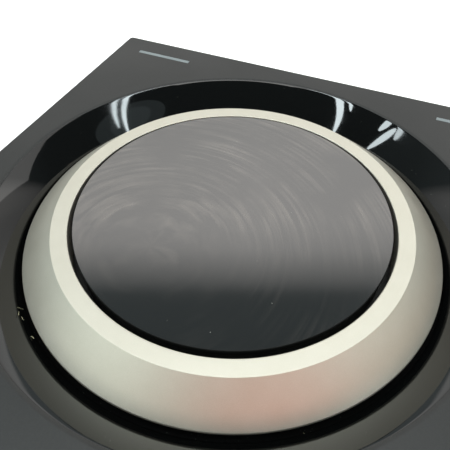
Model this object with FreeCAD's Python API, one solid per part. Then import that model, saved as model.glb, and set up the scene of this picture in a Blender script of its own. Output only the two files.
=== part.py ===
"""Desktop control dial: a square black case with a big aluminium ring that turns round a fixed glass touch panel.

Units are millimetres. The origin is on the table under the ring's axis, +Z is up, the front is -Y and the sockets
are in the rear (+Y) and left (-X) walls. Each separate piece is written to parts/NAME.step.

How it goes together: the top case carries the glossy dish. The ring sits on a toothed carrier that turns round a fixed
pedestal. The pedestal holds the glass and the display board, and stands on a tower screwed to the base. The carrier's
teeth drive a small encoder on the main board, which is screwed to the base.
"""

import FreeCAD
import Part
import math
import os

V = FreeCAD.Vector
Z_AXIS = V(0, 0, 1)

# ---- overall sizes ------------------------------------------------------------------------------------------------
case_side = 96.0        # the case is square
total_height = 27.0     # table to the top of the glass
case_corner_r = 1.0     # upright edges
case_edge_r = 0.35      # edge round the top face
wall = 2.0              # case side walls
top_t = 2.0             # case top plate
floor_t = 2.0           # base floor
base_inset = 0.8        # the base stands this far inside the case's outline
foot_stand = 1.0        # the feet lift the base this far off the table

# ---- ring, glass and dish -----------------------------------------------------------------------------------------
ring_bore_r = 27.9      # inner edge of the ring's flat land
ring_land_w = 2.8       # width of the land
ring_cone_run = 5.6     # how far the cone spreads below the land
ring_cone_drop = 4.5    # height of the cone
ring_lip_h = 0.6        # upright lip under the cone
ring_wall = 1.6         # thickness of the cone's wall
land_proud = 0.2        # land above the case's top face
glass_proud = 0.4       # glass above the land
glass_ring_gap = 0.8    # between the glass and the ring's bore
glass_t = 1.1
glass_edge_r = 0.3
dish_ring_gap = 0.75    # shadow gap between the cone's foot and the dish
dish_run = 6.65         # how far the dish spreads, from its inner edge to its rim
dish_drop = 5.7         # depth of the dish
dish_bulge = 0.30       # how far the dish's slope bows out from a straight line
dish_wall = 1.5
dish_lip_w = 0.9        # level lip round the dish
dish_lip_r = 1.3        # rounding from the slope into the lip

# ---- what turns, and what it turns on -----------------------------------------------------------------------------
journal_r = 20.0        # pedestal column, which the carrier turns on
journal_clear = 0.08
carrier_tube_t = 2.2
carrier_flange_t = 1.7
carrier_web_t = 1.1
washer_t = 0.5          # lower glide washer
film_t = 0.3            # upper glide washer
washer_edge = 1.5       # upper glide washer's edge inside the ring's bore
axial_clear = 0.05      # each side of a glide washer
felt_t = 0.8
felt_gap = 0.1
shelf_t = 1.2           # shelf under the felt
gear_module = 0.8
ring_teeth = 72
pinion_teeth = 18
gear_face = 4.0
gear_thinning = 0.05    # taken off each side of every tooth, for backlash
pressure_angle = 20.0
encoder_angle = -45.0   # the encoder stands on this ray from the axis, in degrees

# ---- fits ---------------------------------------------------------------------------------------------------------
slip = 0.1              # between pieces that are slid together
glue_gap = 0.05         # between pieces that are glued
screw_clear = 0.2       # round a screw's shank and head
head_clear = 0.1        # a screw's head is this far inside its recess

# ---- boards -------------------------------------------------------------------------------------------------------
board_t = 1.6
board_standoff = 2.4
board_edge_gap = 2.0
display_board_t = 1.0

# ---- corner marks, touch springs, feet ----------------------------------------------------------------------------
mark_len = 13.4
mark_w = 1.0
mark_inset = 5.75       # from the case's sides to the mark's outer end and to its middle line
spring_wire_r = 0.25
spring_r = 2.3
spring_pitch = 1.7
foot_r = 6.0
foot_sink = 0.6         # depth of the foot's seat in the base
post_inset = 13.5       # screw posts and feet, from the case's sides
post_r = 2.8

# ---- sockets ------------------------------------------------------------------------------------------------------
jack_bore_r = 1.85
jack_nose_r = 3.0
jack_w = 7.0
jack_h = 6.0
jack_len = 12.6
jack_depth = 13.6       # bore, from the nose's face
nose_sink = 0.2         # nose's face below the wall's outer face
usb_w = 7.6
usb_h = 2.8
usb_len = 5.6
usb_skin = 0.3
usb_chamfer = 0.9
line_out_x = 14.0
usb_x = -14.0
headset_y = 9.0         # headphone and microphone jacks, each side of the middle of the left wall

# ---- radii and levels worked out from the sizes above -------------------------------------------------------------
ring_land_r = ring_bore_r + ring_land_w
ring_skirt_r = ring_land_r + ring_cone_run
dish_floor_r = ring_skirt_r + dish_ring_gap
dish_rim_r = dish_floor_r + dish_run
glass_r = ring_bore_r - glass_ring_gap
half = case_side / 2
inner_half = half - wall
base_half = half - base_inset
base_z = foot_stand
floor_z = base_z + floor_t
board_z = floor_z + board_standoff
board_top = board_z + board_t
glass_top = total_height
land_z = glass_top - glass_proud
case_top = land_z - land_proud
ceiling_z = case_top - top_t
skirt_z = land_z - ring_cone_drop
ring_z = skirt_z - ring_lip_h
dish_z = case_top - dish_drop
flange_z = ring_z - carrier_flange_t
felt_z = flange_z - felt_gap - felt_t
shelf_z = felt_z - shelf_t
web_top = flange_z + carrier_web_t
cup_z = web_top + 2 * axial_clear + film_t
gear_gap = 0.5
gear_top = shelf_z - gear_gap
gear_z = gear_top - gear_face
tower_top = gear_z - axial_clear - washer_t
glass_z = glass_top - glass_t
tape_t = 0.15
cup_top = glass_z - tape_t
gear_distance = gear_module * (ring_teeth + pinion_teeth) / 2
encoder_x = gear_distance * math.cos(math.radians(encoder_angle))
encoder_y = gear_distance * math.sin(math.radians(encoder_angle))
post_at = half - post_inset
mark_y = half - mark_inset
mark_x = half - mark_inset - mark_len / 2
board_half = inner_half - board_edge_gap
jack_z = board_top + jack_h / 2
usb_z = board_top + usb_h / 2
CORNERS = {"front_left": (-1, -1), "front_right": (1, -1), "rear_left": (-1, 1), "rear_right": (1, 1)}


# ---- helpers ------------------------------------------------------------------------------------------------------
def box(x0, x1, y0, y1, z0, z1):
    """A box between two corners."""
    return Part.makeBox(x1 - x0, y1 - y0, z1 - z0, V(x0, y0, z0))


def centred_box(x, y, width, depth, z0, z1):
    """A box with its middle at x, y."""
    return box(x - width / 2, x + width / 2, y - depth / 2, y + depth / 2, z0, z1)


def rod(r, z0, z1, x=0.0, y=0.0):
    """An upright cylinder."""
    return Part.makeCylinder(r, z1 - z0, V(x, y, z0), Z_AXIS)


def tube(r_out, r_in, z0, z1, x=0.0, y=0.0):
    """An upright tube, open at both ends."""
    return rod(r_out, z0, z1, x, y).cut(rod(r_in, z0 - 1, z1 + 1, x, y))


def block(half_side, corner_r, z0, z1):
    """A square block with rounded upright edges."""
    solid = box(-half_side, half_side, -half_side, half_side, z0, z1)
    upright = [e for e in solid.Edges if abs(e.tangentAt(e.FirstParameter).z) > 0.99]
    return solid.makeFillet(corner_r, upright)


def joined(shapes):
    """One solid made of several that touch or overlap."""
    first, rest = shapes[0], shapes[1:]
    return first.fuse(rest).removeSplitter() if rest else first


def turned(profile):
    """A solid of revolution about the axis. profile is a list of (r, z) or (r, z, fillet radius)."""
    return Part.Face(rounded_wire([(V(p[0], 0, p[1]), p[2] if len(p) > 2 else 0.0) for p in profile])).revolve(
        V(0, 0, 0), Z_AXIS, 360
    )


def rounded_wire(corners):
    """A closed wire through corners, each (point, fillet radius)."""
    edges, ends = [], []
    for i, (point, radius) in enumerate(corners):
        before, after = corners[i - 1][0], corners[(i + 1) % len(corners)][0]
        to_before, to_after = (before - point).normalize(), (after - point).normalize()
        if radius == 0:
            ends.append((point, None, point))
            continue
        half_angle = to_before.getAngle(to_after) / 2
        reach = radius / math.tan(half_angle)
        middle = (to_before + to_after).normalize() * (radius / math.sin(half_angle) - radius)
        ends.append((point + to_before * reach, point + middle, point + to_after * reach))
    for i, (start, middle, end) in enumerate(ends):
        if middle is not None:
            edges.append(Part.Arc(start, middle, end).toShape())
        following = ends[(i + 1) % len(ends)][0]
        if end.distanceToPoint(following) > 1e-6:
            edges.append(Part.LineSegment(end, following).toShape())
    return Part.Wire(Part.__sortEdges__(edges))


def placed(shape, x=0.0, y=0.0, z=0.0, turn=0.0):
    """A copy of shape turned about Z and then moved."""
    copy = shape.copy()
    copy.rotate(V(0, 0, 0), Z_AXIS, turn)
    copy.translate(V(x, y, z))
    return copy


def circle_of(count, radius, start=0.0):
    """Points evenly spaced on a circle about the axis."""
    angles = [math.radians(start + 360.0 * i / count) for i in range(count)]
    return [(radius * math.cos(a), radius * math.sin(a)) for a in angles]


def screw(r, length, head_r, head_h, up=True):
    """A cross-head screw with the underside of its head at z = 0, pointing up or down."""
    body = joined([rod(r, 0, length), rod(head_r, -head_h, 0)])
    slot_w, slot_len, slot_deep = head_r * 0.28, head_r * 1.1, head_h * 0.55
    for width, depth in ((slot_w, slot_len), (slot_len, slot_w)):
        body = body.cut(centred_box(0, 0, width, depth, -head_h - 1, -head_h + slot_deep))
    if not up:
        body.rotate(V(0, 0, 0), V(1, 0, 0), 180)
    return body


def group(shapes):
    """Several separate solids kept in one node."""
    return Part.makeCompound(shapes)


def gear_outline(teeth, module, tip_angle):
    """Points round a spur gear with involute flanks, with a tooth centred on tip_angle (radians)."""
    pitch_r = module * teeth / 2
    base_r = pitch_r * math.cos(math.radians(pressure_angle))
    tip_r, root_r = pitch_r + module, pitch_r - 1.25 * module
    flank_start = max(base_r, root_r)
    flank_steps = 4

    def roll(r):
        return math.sqrt(max(0.0, (r / base_r) ** 2 - 1))

    def involute(r):
        return roll(r) - math.atan(roll(r))

    half_tooth = math.pi / (2 * teeth) - gear_thinning / pitch_r
    flank = []
    for i in range(flank_steps + 1):
        r = flank_start + (tip_r - flank_start) * i / flank_steps
        flank.append((r, half_tooth + involute(pitch_r) - involute(r)))
    if root_r < flank_start:
        flank.insert(0, (root_r, flank[0][1]))
    points = []
    for n in range(teeth):
        middle = tip_angle + 2 * math.pi * n / teeth
        sides = [(r, middle - a) for r, a in flank] + [(r, middle + a) for r, a in reversed(flank)]
        points += [V(r * math.cos(a), r * math.sin(a), 0) for r, a in sides]
    return points


def spur_gear(teeth, module, tip_angle, z0, z1):
    """A solid spur gear between two levels."""
    points = gear_outline(teeth, module, tip_angle)
    face = Part.Face(Part.makePolygon(points + points[:1]))
    solid = face.extrude(V(0, 0, z1 - z0))
    solid.translate(V(0, 0, z0))
    return solid


# ---- wall sockets: one description used by the case, the base and the sockets -------------------------------------
# Each is (name, turn about Z that carries the rear wall to its wall, place along the wall seen with that wall at +Y).
JACKS = [("line_out", 0, line_out_x), ("headphone", 90, headset_y), ("microphone", 90, -headset_y)]


def jack_cutter(clear, length):
    """The round way through a wall for a jack's nose, along Y and centred on it."""
    hole = Part.makeCylinder(jack_nose_r + clear, length, V(0, -length / 2, jack_z), V(0, 1, 0))
    return hole


def usb_section(grow):
    """The USB socket's outline, wide at the top, as a wire in the XZ plane at y = 0."""
    w, h, c = usb_w / 2 + grow, usb_h / 2 + grow, usb_chamfer
    points = [V(-w, 0, h), V(w, 0, h), V(w, 0, -h + c), V(w - c, 0, -h), V(-w + c, 0, -h), V(-w, 0, -h + c)]
    return Part.makePolygon([p + V(0, 0, usb_z) for p in points + points[:1]])


def usb_cutter(clear, length):
    """The way through the rear wall for the USB socket."""
    solid = Part.Face(usb_section(clear)).extrude(V(0, length, 0))
    solid.translate(V(0, -length / 2, 0))
    return solid


def port_cutters(clear, low):
    """For each socket: its way through the wall, open downwards to the level low, and its width."""
    length = 4 * wall
    ports = []
    for _, turn, along in JACKS:
        width = 2 * (jack_nose_r + clear)
        way = joined([jack_cutter(clear, length), centred_box(0, 0, width, length, low, jack_z)])
        ports.append(placed(placed(way, along, half - wall / 2), turn=turn))
    width = usb_w + 2 * clear
    way = joined([usb_cutter(clear, length), centred_box(0, 0, width, length, low, usb_z)])
    ports.append(placed(way, usb_x, half - wall / 2))
    return ports


# ---- case ---------------------------------------------------------------------------------------------------------
ledge_drop = 1.0        # seat for the dish's rim
ledge_w = 1.1
post_gap = 0.05         # between the case's post and the base's pad
pad_h = 2.0             # base pads under the case's posts
post_screw_r = 1.25
post_screw_bite = 6.0
mark_slot_clear = 0.05


def top_case():
    outer = block(half, case_corner_r, floor_z, case_top)
    rim = [e for e in outer.Edges if e.BoundBox.ZMin > case_top - 1e-6]
    outer = outer.makeFillet(case_edge_r, rim)
    shell = outer.cut(block(inner_half, case_corner_r, floor_z - 1, ceiling_z))
    post_bottom = floor_z + pad_h + post_gap
    posts = []
    for sx, sy in CORNERS.values():
        posts.append(rod(post_r, post_bottom, ceiling_z + 0.5, sx * post_at, sy * post_at))
    shell = joined([shell] + posts)
    cuts = [rod(dish_rim_r, case_top - ledge_drop, case_top + 1)]
    cuts.append(rod(dish_rim_r - ledge_w, ceiling_z - 1, case_top))
    for sx, sy in CORNERS.values():
        cuts.append(rod(post_screw_r, post_bottom - 1, post_bottom + post_screw_bite, sx * post_at, sy * post_at))
        slot_len, slot_w = mark_len + 2 * mark_slot_clear, mark_w + 2 * mark_slot_clear
        cuts.append(centred_box(sx * mark_x, sy * mark_y, slot_len, slot_w, ceiling_z - 1, case_top + 1))
    return shell.cut(cuts + port_cutters(slip + glue_gap, floor_z - 1))


def dish_bezel():
    """The glossy dish, with the shelf that carries the felt."""
    rim, crest = dish_rim_r - glue_gap, dish_rim_r - dish_lip_w
    run, rise = crest - dish_floor_r, case_top - dish_z
    slope = math.hypot(run, rise)
    out_r, out_z = -rise / slope, run / slope            # unit normal of the slope, towards the axis and up
    middle = V((crest + dish_floor_r) / 2 + out_r * dish_bulge, 0, (case_top + dish_z) / 2 + out_z * dish_bulge)
    under_r, under_z = dish_floor_r - out_r * dish_wall, dish_z - out_z * dish_wall
    seat_z, neck_r = case_top - ledge_drop, dish_rim_r - ledge_w - slip
    neck_z = under_z + (neck_r - under_r) * rise / run
    foot_r_out = dish_floor_r + shelf_t
    shelf_in = felt_in_r() - 0.3
    foot_z = under_z + (foot_r_out - under_r) * rise / run
    points = [V(crest, 0, case_top), V(rim, 0, case_top), V(rim, 0, seat_z), V(neck_r, 0, seat_z), V(neck_r, 0, neck_z)]
    points += [V(foot_r_out, 0, foot_z), V(foot_r_out, 0, shelf_z), V(shelf_in, 0, shelf_z), V(shelf_in, 0, felt_z)]
    points += [V(dish_floor_r, 0, felt_z), V(dish_floor_r, 0, dish_z)]
    edges = [Part.LineSegment(a, b).toShape() for a, b in zip(points, points[1:])]
    edges.append(Part.Arc(points[-1], middle, points[0]).toShape())
    solid = Part.Face(Part.Wire(edges)).revolve(V(0, 0, 0), Z_AXIS, 360)
    crest_edge = [e for e in solid.Edges if e.BoundBox.ZMin > case_top - 1e-4 and e.BoundBox.XMax < rim - 1e-4]
    return solid.makeFillet(dish_lip_r, crest_edge)


def felt_in_r():
    return carrier_screw_r() + ring_screw_head_r + 0.4


def damping_felt():
    return tube(dish_floor_r - 0.15, felt_in_r(), felt_z, felt_z + felt_t)


def bottom_case():
    lip_t, lip_h = 1.4, 3.2
    lip_half = inner_half - slip
    base = block(base_half, case_corner_r, base_z, floor_z)
    lip = block(lip_half, case_corner_r, floor_z, floor_z + lip_h).cut(
        block(lip_half - lip_t, case_corner_r, floor_z - 1, floor_z + lip_h + 1)
    )
    adds = [base, lip]
    for sx, sy in CORNERS.values():
        adds.append(rod(post_r + 1.2, floor_z, floor_z + pad_h, sx * post_at, sy * post_at))
    for x, y in board_screw_places():
        adds.append(rod(board_post_r, floor_z, board_z, x, y))
    for x, y in circle_of(3, tower_screw_circle, tower_screw_start):
        adds.append(rod(tower_post_r, floor_z, floor_z + tower_pad_h, x, y))
    adds += port_tabs()
    solid = joined(adds)
    cuts = []
    for sx, sy in CORNERS.values():
        x, y = sx * post_at, sy * post_at
        cuts.append(rod(foot_r + slip, base_z - 1, base_z + foot_sink, x, y))
        cuts.append(rod(post_head_r + screw_clear, base_z, base_z + foot_sink + post_head_h + head_clear, x, y))
        cuts.append(rod(post_screw_r + screw_clear, base_z, floor_z + pad_h + 1, x, y))
    for x, y in board_screw_places():
        cuts.append(rod(board_screw_r, board_top - board_screw_len, board_z + 1, x, y))
    for x, y in circle_of(3, tower_screw_circle, tower_screw_start):
        cuts.append(rod(tower_head_r + screw_clear, base_z - 1, base_z + tower_head_h + head_clear, x, y))
        cuts.append(rod(tower_screw_r + screw_clear, base_z, floor_z + tower_pad_h + 1, x, y))
    cuts.append(centred_box(0, label_y, label_w + 2 * slip, label_d + 2 * slip, base_z - 1, base_z + label_t))
    for _, turn, along in JACKS:
        notch = centred_box(along, inner_half - 1, jack_w + 2 * slip, 4 * wall, board_top - 0.5, board_top + 9)
        cuts.append(placed(notch, turn=turn).cut(port_tab_zone()))
    cuts.append(centred_box(usb_x, inner_half - 1, usb_w + 4 * slip, 4 * wall, board_top - 0.5, board_top + 9).cut(
        port_tab_zone()))
    return solid.cut(cuts)


def port_tab_zone():
    """The square band that the case's walls stand in."""
    return block(half + 1, case_corner_r, floor_z, case_top).cut(
        block(inner_half - 0.01, case_corner_r, floor_z - 1, case_top + 1)
    )


def port_tabs():
    """Upright tabs on the base that fill the case's slots below the sockets."""
    face_sink = 0.05
    tabs = []
    for _, turn, along in JACKS:
        width = 2 * (jack_nose_r + glue_gap)
        tab = box(along - width / 2, along + width / 2, inner_half - slip - 1.0, half - face_sink, floor_z, jack_z)
        nose = placed(jack_cutter(slip, 8 * wall), along, half)
        tabs.append(placed(tab.cut(nose), turn=turn))
    width = usb_w
    tab = box(usb_x - width / 2, usb_x + width / 2, inner_half - slip - 1.0, half - face_sink, floor_z, usb_z)
    tabs.append(tab.cut(placed(usb_cutter(slip, 8 * wall), usb_x, half)))
    return tabs


# ---- underside ----------------------------------------------------------------------------------------------------
label_w = 38.0
label_d = 16.0
label_t = 0.15
label_y = 14.0 - half    # from the case's front
post_head_r = 2.3
post_head_h = 1.2
foot_edge_r = 0.4


def foot(sx, sy):
    base_r = foot_r
    profile = [(0, 0), (base_r - 0.5, 0, foot_edge_r), (base_r, foot_stand), (base_r, foot_stand + foot_sink)]
    profile.append((0, foot_stand + foot_sink))
    return placed(turned(profile), sx * post_at, sy * post_at)


def base_label():
    return centred_box(0, label_y, label_w, label_d, base_z + 0.02, base_z + label_t)


def case_screws():
    level = base_z + foot_sink + post_head_h + head_clear
    one = screw(post_screw_r, floor_z + pad_h + post_gap + post_screw_bite - level, post_head_r, post_head_h)
    return group([placed(one, sx * post_at, sy * post_at, level) for sx, sy in CORNERS.values()])


# ---- ring and carrier ---------------------------------------------------------------------------------------------
land_in_edge_r = 0.2
land_out_edge_r = 0.12
skirt_edge_r = 0.3
ring_foot_edge_r = 0.15
ring_inner_wall = 2.2
pocket_roof_w = 0.4      # flat top of the hollow under the cone, at least
ring_screw_r = 1.0
ring_screw_bite = 2.0
ring_screw_head_r = 1.7
ring_screw_head_h = 1.0
ring_boss_r = 1.75
boss_bury = 0.4          # how far a boss runs into the wall beside it
ring_screw_count = 4
carrier_rim_inset = 1.1  # carrier's edge inside the ring's lip


def carrier_screw_r():
    return ring_bore_r + ring_inner_wall + ring_boss_r - boss_bury


def cone_under_z(r):
    """Height of the underside of the cone's wall at radius r."""
    slope = math.hypot(ring_cone_run, ring_cone_drop)
    return skirt_z + ((ring_skirt_r - r) * ring_cone_drop - ring_wall * slope) / ring_cone_run


def cone_under_r(z):
    """Radius of the underside of the cone's wall at height z."""
    return ring_skirt_r + (cone_under_z(ring_skirt_r) - z) * ring_cone_run / ring_cone_drop


def control_ring():
    outline = turned([
        (ring_bore_r, land_z, land_in_edge_r),
        (ring_land_r, land_z, land_out_edge_r),
        (ring_skirt_r, skirt_z, skirt_edge_r),
        (ring_skirt_r, ring_z, ring_foot_edge_r),
        (ring_bore_r, ring_z, ring_foot_edge_r),
    ])
    pocket_in = ring_bore_r + ring_inner_wall
    roof_z = min(land_z - ring_wall, cone_under_z(pocket_in + pocket_roof_w))
    pocket = turned([(pocket_in, ring_z - 1), (cone_under_r(ring_z - 1), ring_z - 1), (cone_under_r(roof_z), roof_z),
                     (pocket_in, roof_z)])
    bosses = [rod(ring_boss_r, ring_z - 1, land_z, x, y) for x, y in ring_screw_places()]
    ring = outline.cut(pocket.cut(bosses))
    return ring.cut([rod(ring_screw_r, ring_z - 1, ring_z + ring_screw_bite, x, y) for x, y in ring_screw_places()])


def ring_screw_places():
    return circle_of(ring_screw_count, carrier_screw_r(), 45)


def ring_carrier():
    """Flange under the ring, bearing tube round the pedestal, and the toothed skirt."""
    bore = journal_r + journal_clear
    root_r = gear_module * (ring_teeth / 2 - 1.25)
    skirt_in = root_r - 1.3
    edge_r = ring_skirt_r - carrier_rim_inset
    flange = tube(edge_r, bore, flange_z, web_top)
    collar = tube(edge_r, ring_bore_r + 0.1, web_top - 0.2, ring_z)
    journal = tube(bore + carrier_tube_t, bore, gear_z, web_top)
    skirt = tube(root_r, skirt_in, gear_top - 0.2, flange_z + 0.2)
    tip_angle = math.radians(encoder_angle)
    teeth = spur_gear(ring_teeth, gear_module, tip_angle, gear_z, gear_top).cut(rod(skirt_in, gear_z - 1, gear_top + 1))
    carrier = joined([flange, collar, journal, skirt, teeth])
    cuts = []
    for x, y in ring_screw_places():
        cuts.append(rod(ring_screw_r + screw_clear, flange_z - 1, ring_z + 1, x, y))
        cuts.append(rod(ring_screw_head_r + screw_clear, flange_z - 1, flange_z + ring_screw_head_h + head_clear, x, y))
    return carrier.cut(cuts)


def ring_screws():
    level = flange_z + ring_screw_head_h + head_clear
    one = screw(ring_screw_r, ring_z + ring_screw_bite - level, ring_screw_head_r, ring_screw_head_h)
    return group([placed(one, x, y, level) for x, y in ring_screw_places()])


def lower_glide_washer():
    return tube(journal_r + carrier_tube_t + 0.4, journal_r + slip, tower_top, tower_top + washer_t)


def upper_glide_washer():
    low = web_top + axial_clear
    return tube(ring_bore_r - washer_edge, journal_r + slip, low, low + film_t)


# ---- pedestal, tower and display ----------------------------------------------------------------------------------
cup_r = glass_r - 0.3    # the glass overhangs the cup by a little
cup_wall = 1.5
cup_floor_t = 1.2
column_t = 2.4
rib_h = 0.6
hub_r = 9.5
pedestal_screw_circle = journal_r - column_t - 3.2
pedestal_screw_count = 3
pedestal_screw_r = 1.0
pedestal_screw_len = 6.0
pedestal_head_r = 1.9
pedestal_head_h = 1.1
pedestal_boss_r = 2.3
ribbon_w = 8.0
ribbon_t = 0.3
ribbon_x = 0.0
ribbon_y = -5.0
tower_wall = 2.0
tower_r = journal_r + carrier_tube_t + 0.6
board_hole_r = tower_r + 1.2
tower_roof_t = 1.8
tower_hole_r = pedestal_screw_circle - 4.4
tower_screw_circle = tower_r - tower_wall - 3.2
tower_screw_start = 90.0
tower_screw_r = 1.0
tower_screw_len = 5.5
tower_head_r = 1.9
tower_head_h = 1.1
tower_pad_h = 0.8
tower_post_r = 2.4


def display_pedestal():
    column = tube(journal_r, journal_r - column_t, tower_top, cup_z + 0.2)
    floor = rod(cup_r, cup_z, cup_z + cup_floor_t)
    side = tube(cup_r, cup_r - cup_wall, cup_z, cup_top)
    rib = tube(cup_r - cup_wall + 0.1, cup_r - cup_wall - 1.2, cup_z + cup_floor_t - 0.1, display_board_z())
    hub = tube(hub_r, hub_r - 1.2, cup_z + cup_floor_t - 0.1, display_board_z())
    adds = [column, floor, side, rib, hub]
    for x, y in circle_of(pedestal_screw_count, pedestal_screw_circle, 30):
        length = math.hypot(x, y)
        adds.append(rod(pedestal_boss_r, tower_top, cup_z + 0.2, x, y))
        web = box(length, journal_r - 1, -0.6, 0.6, tower_top, cup_z + 0.2)
        web.rotate(V(0, 0, 0), Z_AXIS, math.degrees(math.atan2(y, x)))
        adds.append(web)
    solid = joined(adds)
    cuts = [centred_box(ribbon_x, ribbon_y, ribbon_w + 1, 2.0, cup_z - 1, display_board_z() + 1)]
    for x, y in circle_of(pedestal_screw_count, pedestal_screw_circle, 30):
        cuts.append(rod(pedestal_screw_r, tower_top - 1, tower_top + pedestal_screw_len, x, y))
    return solid.cut(cuts)


def display_board_z():
    return cup_z + cup_floor_t + rib_h


def display_board_r():
    return cup_r - cup_wall - slip


def bearing_tower():
    side = tube(tower_r, tower_r - tower_wall, floor_z, tower_top)
    roof = tube(tower_r, tower_hole_r, tower_top - tower_roof_t, tower_top)
    adds = [side, roof]
    for x, y in circle_of(3, tower_screw_circle, tower_screw_start):
        adds.append(rod(tower_post_r, floor_z + tower_pad_h, tower_top - 1, x, y))
    solid = joined(adds)
    cuts = []
    for x, y in circle_of(pedestal_screw_count, pedestal_screw_circle, 30):
        cuts.append(rod(pedestal_screw_r + screw_clear, tower_top - tower_roof_t - 1, tower_top + 1, x, y))
    for x, y in circle_of(3, tower_screw_circle, tower_screw_start):
        cuts.append(rod(tower_screw_r, floor_z, floor_z + tower_pad_h + tower_screw_len, x, y))
        cuts.append(rod(tower_post_r + slip, floor_z - 1, floor_z + tower_pad_h, x, y))
    window_h = ribbon_connector_h + 1.6
    cuts.append(box(ribbon_x - ribbon_w / 2 - 1, ribbon_x + ribbon_w / 2 + 1, -tower_r - 1, -tower_hole_r,
                    board_top + 0.3, board_top + window_h))
    return solid.cut(cuts)


def pedestal_screws():
    one = screw(pedestal_screw_r, pedestal_screw_len + tower_roof_t, pedestal_head_r, pedestal_head_h)
    level = tower_top - tower_roof_t
    places = circle_of(pedestal_screw_count, pedestal_screw_circle, 30)
    return group([placed(one, x, y, level) for x, y in places])


def tower_screws():
    level = base_z + tower_head_h + head_clear
    one = screw(tower_screw_r, floor_z + tower_pad_h + tower_screw_len - level, tower_head_r, tower_head_h)
    return group([placed(one, x, y, level) for x, y in circle_of(3, tower_screw_circle, tower_screw_start)])


def touch_glass():
    return turned([(0, glass_z), (glass_r, glass_z, 0.1), (glass_r, glass_top, glass_edge_r), (0, glass_top)])


def glass_adhesive():
    return tube(cup_r - 0.1, cup_r - cup_wall - 1.6, cup_top, glass_z)


led_w = 0.8
led_len = 1.6
led_h = 0.6
cell_clear = 0.5        # round each light
led_edge = 4.2          # outer row, from the display board's edge
led_rows = [(12, 1.0), (8, 0.62), (4, 0.26)]     # how many, and the row's radius as a share of the outer row's


def led_places():
    """Each light in the display: x, y and its turn about Z."""
    places = []
    for count, share in led_rows:
        for i, (x, y) in enumerate(circle_of(count, share * (display_board_r() - led_edge), 90)):
            places.append((x, y, 90 + 360.0 * i / count))
    return places


def display_board():
    board = rod(display_board_r(), display_board_z(), display_board_z() + display_board_t)
    key_notch = rod(1.2, display_board_z() - 1, display_board_z() + display_board_t + 1, display_board_r(), 0)
    return board.cut(key_notch)


def display_leds():
    z = display_board_z() + display_board_t
    one = centred_box(0, 0, led_w, led_len, z, z + led_h)
    return group([placed(one, x, y, 0, turn) for x, y, turn in led_places()])


def light_cell_frame():
    z0, z1 = display_board_z() + display_board_t, cup_top - glue_gap
    frame = rod(display_board_r(), z0, z1)
    cell = centred_box(0, 0, led_w + 2 * cell_clear, led_len + 4 * cell_clear, z0 - 1, z1 + 1)
    return frame.cut([placed(cell, x, y, 0, turn) for x, y, turn in led_places()])


# ---- ribbon -------------------------------------------------------------------------------------------------------
ribbon_connector_h = 1.8
ribbon_connector_d = 4.0
ribbon_bend_r = 1.6
lower_connector_y = -(board_hole_r + 3.5)
upper_connector_h = 1.0
ribbon_end_gap = 0.3


def ribbon_connector_upper():
    z1 = display_board_z()
    body = centred_box(ribbon_x, ribbon_y, ribbon_w + 0.6, 1.4, z1 - upper_connector_h, z1)
    return body.cut(centred_box(ribbon_x, ribbon_y, ribbon_w, ribbon_t, z1 - 2 * upper_connector_h, z1 - ribbon_end_gap))


def ribbon_connector_lower():
    y = lower_connector_y
    body = centred_box(ribbon_x, y, ribbon_w + 2.4, ribbon_connector_d, board_top, board_top + ribbon_connector_h)
    slot_z = board_top + ribbon_connector_h / 2
    mouth = box(ribbon_x - ribbon_w / 2, ribbon_x + ribbon_w / 2, y - 0.8, y + ribbon_connector_d,
                slot_z - ribbon_t / 2, slot_z + ribbon_t / 2)
    return body.cut(mouth)


def display_ribbon():
    """From the display board straight down inside the column, then out through the tower's window."""
    level = board_top + ribbon_connector_h / 2
    top, end_y, t = display_board_z() - ribbon_end_gap, lower_connector_y - 0.8, ribbon_t / 2
    corners = [
        (V(0, ribbon_y - t, top), 0.0),
        (V(0, ribbon_y - t, level + t), ribbon_bend_r - t),
        (V(0, end_y, level + t), 0.0),
        (V(0, end_y, level - t), 0.0),
        (V(0, ribbon_y + t, level - t), ribbon_bend_r + t),
        (V(0, ribbon_y + t, top), 0.0),
    ]
    strip = Part.Face(rounded_wire(corners)).extrude(V(ribbon_w, 0, 0))
    return placed(strip, ribbon_x - ribbon_w / 2)


# ---- main board ---------------------------------------------------------------------------------------------------
board_screw_r = 1.0
board_screw_len = 4.5
board_head_r = 1.9
board_head_h = 1.1
board_post_r = 2.6
board_screw_inset = 7.0
board_screw_along = 24.0


def board_screw_places():
    x = half - board_screw_inset
    return [(sx * x, sy * board_screw_along) for sx in (-1, 1) for sy in (-1, 1)]


def main_board():
    board = block(board_half, 1.0, board_z, board_top).cut(rod(board_hole_r, board_z - 1, board_top + 1))
    cuts = []
    for sx, sy in CORNERS.values():
        cuts.append(rod(post_r + 0.4, board_z - 1, board_top + 1, sx * post_at, sy * post_at))
    for x, y in board_screw_places():
        cuts.append(rod(board_screw_r + screw_clear, board_z - 1, board_top + 1, x, y))
    return board.cut(cuts)


def board_screws():
    one = screw(board_screw_r, board_screw_len, board_head_r, board_head_h, up=False)
    return group([placed(one, x, y, board_top) for x, y in board_screw_places()])


can_r = 2.5
can_h = 5.2
can_base_w = 5.6
can_base_h = 0.8


def in_corner(x, y):
    """A place on the board given from its nearer edges, negative for the left and the front edge."""
    return math.copysign(board_half - abs(x), x), math.copysign(board_half - abs(y), y)


def by_rear(x, inwards):
    """A place along the rear edge, where the line-out and data sockets are."""
    return x, board_half - inwards


def by_left(inwards, y):
    """A place along the left edge, where the headset's sockets are."""
    return inwards - board_half, y


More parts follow.
